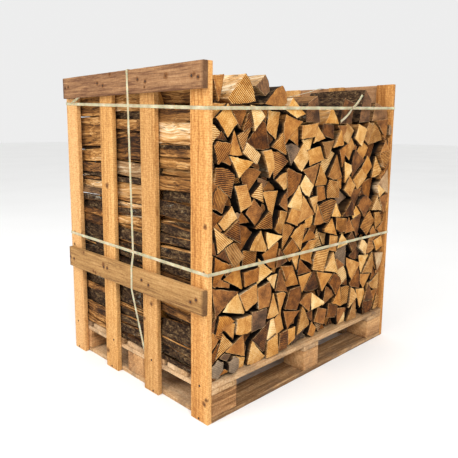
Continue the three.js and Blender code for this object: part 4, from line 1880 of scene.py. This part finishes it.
@dataclass
class Strap:
    """A loop of flat plastic strap in its CAD solid's place, with its knots and loose ends."""

    node: str
    width_axis: Axis
    ends: tuple[StrapEnd, ...] = ()
    thickness: float = 0.9 * MM
    step: float = 25 * MM
    fold: float = 2 * MM
    same_corner: float = 3 * MM
    same_side: float = 5 * MM
    knot_turns: float = 2.6
    knot_points: int = 44

    def build(self, material: bpy.types.Material) -> bpy.types.Object:
        """Make the strap with its knots and tails as one piece.

        Args:
            material: the strap plastic.

        Returns:
            The strap.
        """
        corners, width = self._centreline()
        widths = np.zeros(3)
        widths[self.width_axis.value] = 1.0
        everything = [self._ribbon(self._resampled(corners), widths, width, closed=True)]
        for end in self.ends:
            start, along, outward = self._end_place(corners, end)
            for tail in end.tails:
                route = self._tail_route(start, along, outward, tail)
                everything.append(self._tail(route, width * 0.85))
            if end.knotted:
                everything.append(self._knot(start, width))
        all_points = np.concatenate([part[0] for part in everything])
        all_places = np.concatenate([part[2] for part in everything])
        all_faces: list[tuple[int, ...]] = []
        base = 0
        for part_points, part_faces, _ in everything:
            all_faces += [tuple(i + base for i in face) for face in part_faces]
            base += len(part_points)
        places = {"strap_place": all_places}
        piece = make_object(f"{self.node}_band", all_points, all_faces, [material], attributes=places)
        return hand_over(piece, "strapping", self.node)

    def _centreline(self) -> tuple[np.ndarray, float]:
        """Find the loop's corners and width from its solid.

        Returns:
            The corners, in order round the loop and midway through the strap, and the width.
        """
        solid = node_points(self.node)
        axis = self.width_axis.value
        flat_axes = [i for i in range(3) if i != axis]
        flat = solid[:, flat_axes]
        middle = (flat.min(axis=0) + flat.max(axis=0)) / 2
        order = np.argsort(np.arctan2(flat[:, 1] - middle[1], flat[:, 0] - middle[0]))
        groups: list[list[np.ndarray]] = []
        for i in order:
            spot = solid[i][flat_axes]
            close = [g for g in groups if np.linalg.norm(g[0][flat_axes] - spot) < self.same_corner]
            if close:
                close[0].append(solid[i])
            else:
                groups.append([solid[i]])
        corners = np.array([np.mean(group, axis=0) for group in groups])
        width = max(np.ptp(np.array(group)[:, axis]) for group in groups)
        return corners, float(width)

    def _resampled(self, corners: np.ndarray) -> np.ndarray:
        """Put points along each straight stretch of the loop, close together at its corners."""
        points = []
        for i, start in enumerate(corners):
            end = corners[(i + 1) % len(corners)]
            length = np.linalg.norm(end - start)
            splits = max(2, round(length / self.step))
            fold = self.fold / length
            shares = [0.0, fold] + [k / splits for k in range(1, splits)] + [1 - fold]
            points += [start + (end - start) * share for share in shares]
        return np.array(points)

    def _ribbon(
        self, path: np.ndarray, widths: np.ndarray, width: float, closed: bool
    ) -> tuple[np.ndarray, list[tuple[int, ...]], np.ndarray]:
        """Sweep the strap's flat section along a path.

        Args:
            path: the points along the middle of the strap.
            widths: the direction that its width lies in.
            width: its width.
            closed: whether the path comes back to its start.

        Returns:
            The points, faces and strap_place attribute.
        """
        count = len(path)
        ahead = np.roll(path, -1, axis=0) - path
        behind = path - np.roll(path, 1, axis=0)
        if not closed:
            ahead[-1] = behind[-1]
            behind[0] = ahead[0]
        ahead /= np.maximum(np.linalg.norm(ahead, axis=1, keepdims=True), 1e-9)
        behind /= np.maximum(np.linalg.norm(behind, axis=1, keepdims=True), 1e-9)
        forward = ahead + behind
        forward /= np.maximum(np.linalg.norm(forward, axis=1, keepdims=True), 1e-9)
        across = np.tile(widths, (count, 1))
        across = across - (across * forward).sum(axis=1, keepdims=True) * forward
        across /= np.maximum(np.linalg.norm(across, axis=1, keepdims=True), 1e-9)
        out = np.cross(forward, across)
        rounded = [(-0.5, 0.25), (-0.42, 0.5), (0.42, 0.5), (0.5, 0.25)]
        shape = rounded + [(-u, -v) for u, v in rounded]
        travel = np.concatenate([[0], np.cumsum(np.linalg.norm(np.diff(path, axis=0), axis=1))])
        points, places = [], []
        for u, v in shape:
            points.append(path + across * u * width + out * v * self.thickness)
            places.append(
                np.column_stack([np.full(count, u * width), travel, np.full(count, v * self.thickness)])
            )
        points_array = np.stack(points, axis=1).reshape(-1, 3)
        places_array = np.stack(places, axis=1).reshape(-1, 3)
        ring = len(shape)
        faces = sweep_faces(ring, count, ends=not closed)
        if closed:
            last = (count - 1) * ring
            faces += [(last + k, last + (k + 1) % ring, (k + 1) % ring, k) for k in range(ring)]
        flipped = [tuple(reversed(face)) for face in faces]
        return points_array, flipped, places_array

    def _end_place(self, corners: np.ndarray, end: StrapEnd) -> tuple[np.ndarray, np.ndarray, np.ndarray]:
        """Find where on the loop an end hangs.

        Args:
            corners: the loop's corners.
            end: the end.

        Returns:
            The place, the level direction along that side from its low coordinates to its high
            ones, and the direction out of it.
        """
        outward = np.array(end.outward)
        reach = corners @ outward
        side = corners[reach > reach.max() - self.same_side]
        along = np.abs(np.cross(outward, (0.0, 0.0, 1.0)))
        first, last = side[(side @ along).argmin()], side[(side @ along).argmax()]
        middle = (np.array(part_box(end.beside)[0]) + np.array(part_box(end.beside)[1])) / 2
        share = ((middle - first) @ along) / ((last - first) @ along)
        return first + (last - first) * share, along, outward

    def _tail_route(
        self, start: np.ndarray, along: np.ndarray, outward: np.ndarray, tail: LooseTail
    ) -> np.ndarray:
        """Give the points of a loose tail, which droops between its knot and its stiff cut end.

        Args:
            start: where it leaves the loop.
            along: the level direction along that side of the loop.
            outward: the direction out of it.
            tail: the tail.

        Returns:
            The points.
        """
        share = np.linspace(0, 1, 6)[:, None]
        heading = along * math.cos(tail.angle) + np.array([0.0, 0.0, math.sin(tail.angle)])
        bow = 4 * share * (1 - share)
        route = start + heading * tail.length * share + outward * tail.stand_off * np.sqrt(share)
        route[:, 2] -= (bow * tail.droop)[:, 0]
        return route

    def _tail(self, route: np.ndarray, width: float) -> tuple[np.ndarray, list[tuple[int, ...]], np.ndarray]:
        """Make a loose end: a smooth curve through the route, turning as it goes.

        Args:
            route: a few points along the tail.
            width: the tail's width.

        Returns:
            The points, faces and strap_place attribute.
        """
        spread = np.linspace(0, len(route) - 1, 14)
        smooth = np.column_stack([np.interp(spread, range(len(route)), route[:, i]) for i in range(3)])
        for _ in range(3):
            smooth[1:-1] = (smooth[:-2] + 2 * smooth[1:-1] + smooth[2:]) / 4
        direction = smooth[-1] - smooth[0]
        sideways = np.cross(direction, (0.35, 1.0, 0.2))
        return self._ribbon(smooth, sideways / np.linalg.norm(sideways), width, closed=False)

    def _knot(self, centre: np.ndarray, width: float) -> tuple[np.ndarray, list[tuple[int, ...]], np.ndarray]:
        """Make the knot: the strap wound tightly round itself.

        Args:
            centre: the knot's middle.
            width: the strap's width.

        Returns:
            The points, faces and strap_place attribute.
        """
        turns = np.linspace(0, self.knot_turns * 2 * math.pi, self.knot_points)
        radius = 0.42 * width
        route = np.column_stack(
            [
                centre[0] + np.linspace(-0.45, 0.45, self.knot_points) * width,
                centre[1] + np.cos(turns) * radius * 0.5 - 1.5 * MM,
                centre[2] + np.sin(turns) * radius,
            ]
        )
        return self._ribbon(route, np.array([1.0, 0.0, 0.25]), width * 0.4, closed=False)


# ---------------------------------------------------------------------------------------------------
# Studio
# ---------------------------------------------------------------------------------------------------


@dataclass
class Studio:
    """The camera, a plain pale floor and soft lights."""

    camera_at: tuple[float, float, float] = (-1.4868, -1.4522, 0.8837)
    heading: float = 0.805
    pitch: float = -0.159
    roll: float = 0.006
    lens: float = 40.47
    shift: tuple[float, float] = (0.0217, -0.0375)
    floor_size: float = 60.0

    def build(self) -> None:
        """Make everything round the object."""
        self._camera()
        self._floor()
        self._lights()
        bpy.context.scene.view_settings.view_transform = "Standard"

    def _camera(self) -> None:
        """Place the camera where the crate is seen from its front left corner."""
        data = bpy.data.cameras.new("camera")
        data.lens = self.lens
        data.sensor_width = 36.0
        data.shift_x, data.shift_y = self.shift
        data.dof.use_dof = False
        data.clip_start, data.clip_end = 0.05, 200.0
        flat = Vector((math.cos(self.heading), math.sin(self.heading), 0.0))
        forward = flat * math.cos(self.pitch) + Vector((0.0, 0.0, math.sin(self.pitch)))
        level = Vector((math.sin(self.heading), -math.cos(self.heading), 0.0))
        upright = level.cross(forward)
        right = level * math.cos(self.roll) + upright * math.sin(self.roll)
        above = upright * math.cos(self.roll) - level * math.sin(self.roll)
        turn = Matrix((right, above, -forward)).transposed()
        camera = bpy.data.objects.new("camera", data)
        camera.matrix_world = Matrix.Translation(self.camera_at) @ turn.to_4x4()
        bpy.context.scene.collection.objects.link(camera)
        bpy.context.scene.camera = camera

    def _floor(self) -> None:
        """Lay the floor under the crate."""
        half = self.floor_size / 2
        z = CAD_BOX[0].z - 0.2 * MM
        points = np.array([(-half, -half, z), (half, -half, z), (half, half, z), (-half, half, z)])
        look = Shading("pale_studio_floor")
        colour = look.ramp([(0.2, "F4F4F3"), (0.8, "F9F9F8")], look.noise(look.object_place(), 0.8))
        material = look.finish(colour, {"Roughness": 0.9})
        floor = make_object("studio_floor", points, [(0, 1, 2, 3)], [material])

    def _lights(self) -> None:
        """Light the crate softly, brightest from above and to the left of the log face."""
        world = bpy.data.worlds.new("studio_world")
        bpy.context.scene.world = world
        world.use_nodes = True
        background = world.node_tree.nodes["Background"]
        background.inputs["Color"].default_value = (1.0, 1.0, 1.0, 1.0)
        background.inputs["Strength"].default_value = 0.85
        for name, at, size, power in (
            ("key_light", (-2.6, -3.4, 4.2), 2.2, 190.0),
            ("side_light", (-4.2, 0.6, 2.6), 2.4, 80.0),
        ):
            data = bpy.data.lights.new(name, "AREA")
            data.shape = "SQUARE"
            data.size = size
            data.energy = power
            light = bpy.data.objects.new(name, data)
            light.location = at
            aim = Vector((0.0, 0.0, 0.5)) - Vector(at)
            light.rotation_euler = aim.to_track_quat("-Z", "Y").to_euler()
            bpy.context.scene.collection.objects.link(light)


def main() -> None:
    """Build the crate and its studio."""
    logging.basicConfig(level=logging.INFO, format="%(message)s")
    Studio().build()
    pieces = Pallet().build()
    nail_steel = NailSteel().build()
    pieces += EndPanel(Side.LEFT).build(nail_steel)
    pieces += EndPanel(Side.RIGHT).build(nail_steel)
    pieces += Firewood().build()
    plastic = PolypropyleneStrap().build()
    upper_ends = (
        # The knot lies in front of a log near the right panel, with one short cut end and one long one
        StrapEnd(
            (0.0, -1.0, 0.0),
            "top_log_front_8",
            (LooseTail(70 * MM, math.radians(45)), LooseTail(100 * MM, math.radians(210))),
        ),
        # A second cut end hangs loose outside the left panel's rearmost slat
        StrapEnd(
            (-1.0, 0.0, 0.0), "left_panel_slat_4", (LooseTail(120 * MM, math.radians(160)),), knotted=False
        ),
    )
    straps = [
        Strap("strap_upper", Axis.Z, upper_ends),
        Strap("strap_lower", Axis.Z),
        Strap("strap_over_top", Axis.Y),
    ]
    pieces += [strap.build(plastic) for strap in straps]
    for piece in pieces:
        LOG.info("%s: %d faces", piece.name, len(piece.data.polygons))


if __name__ == "__main__":
    main()
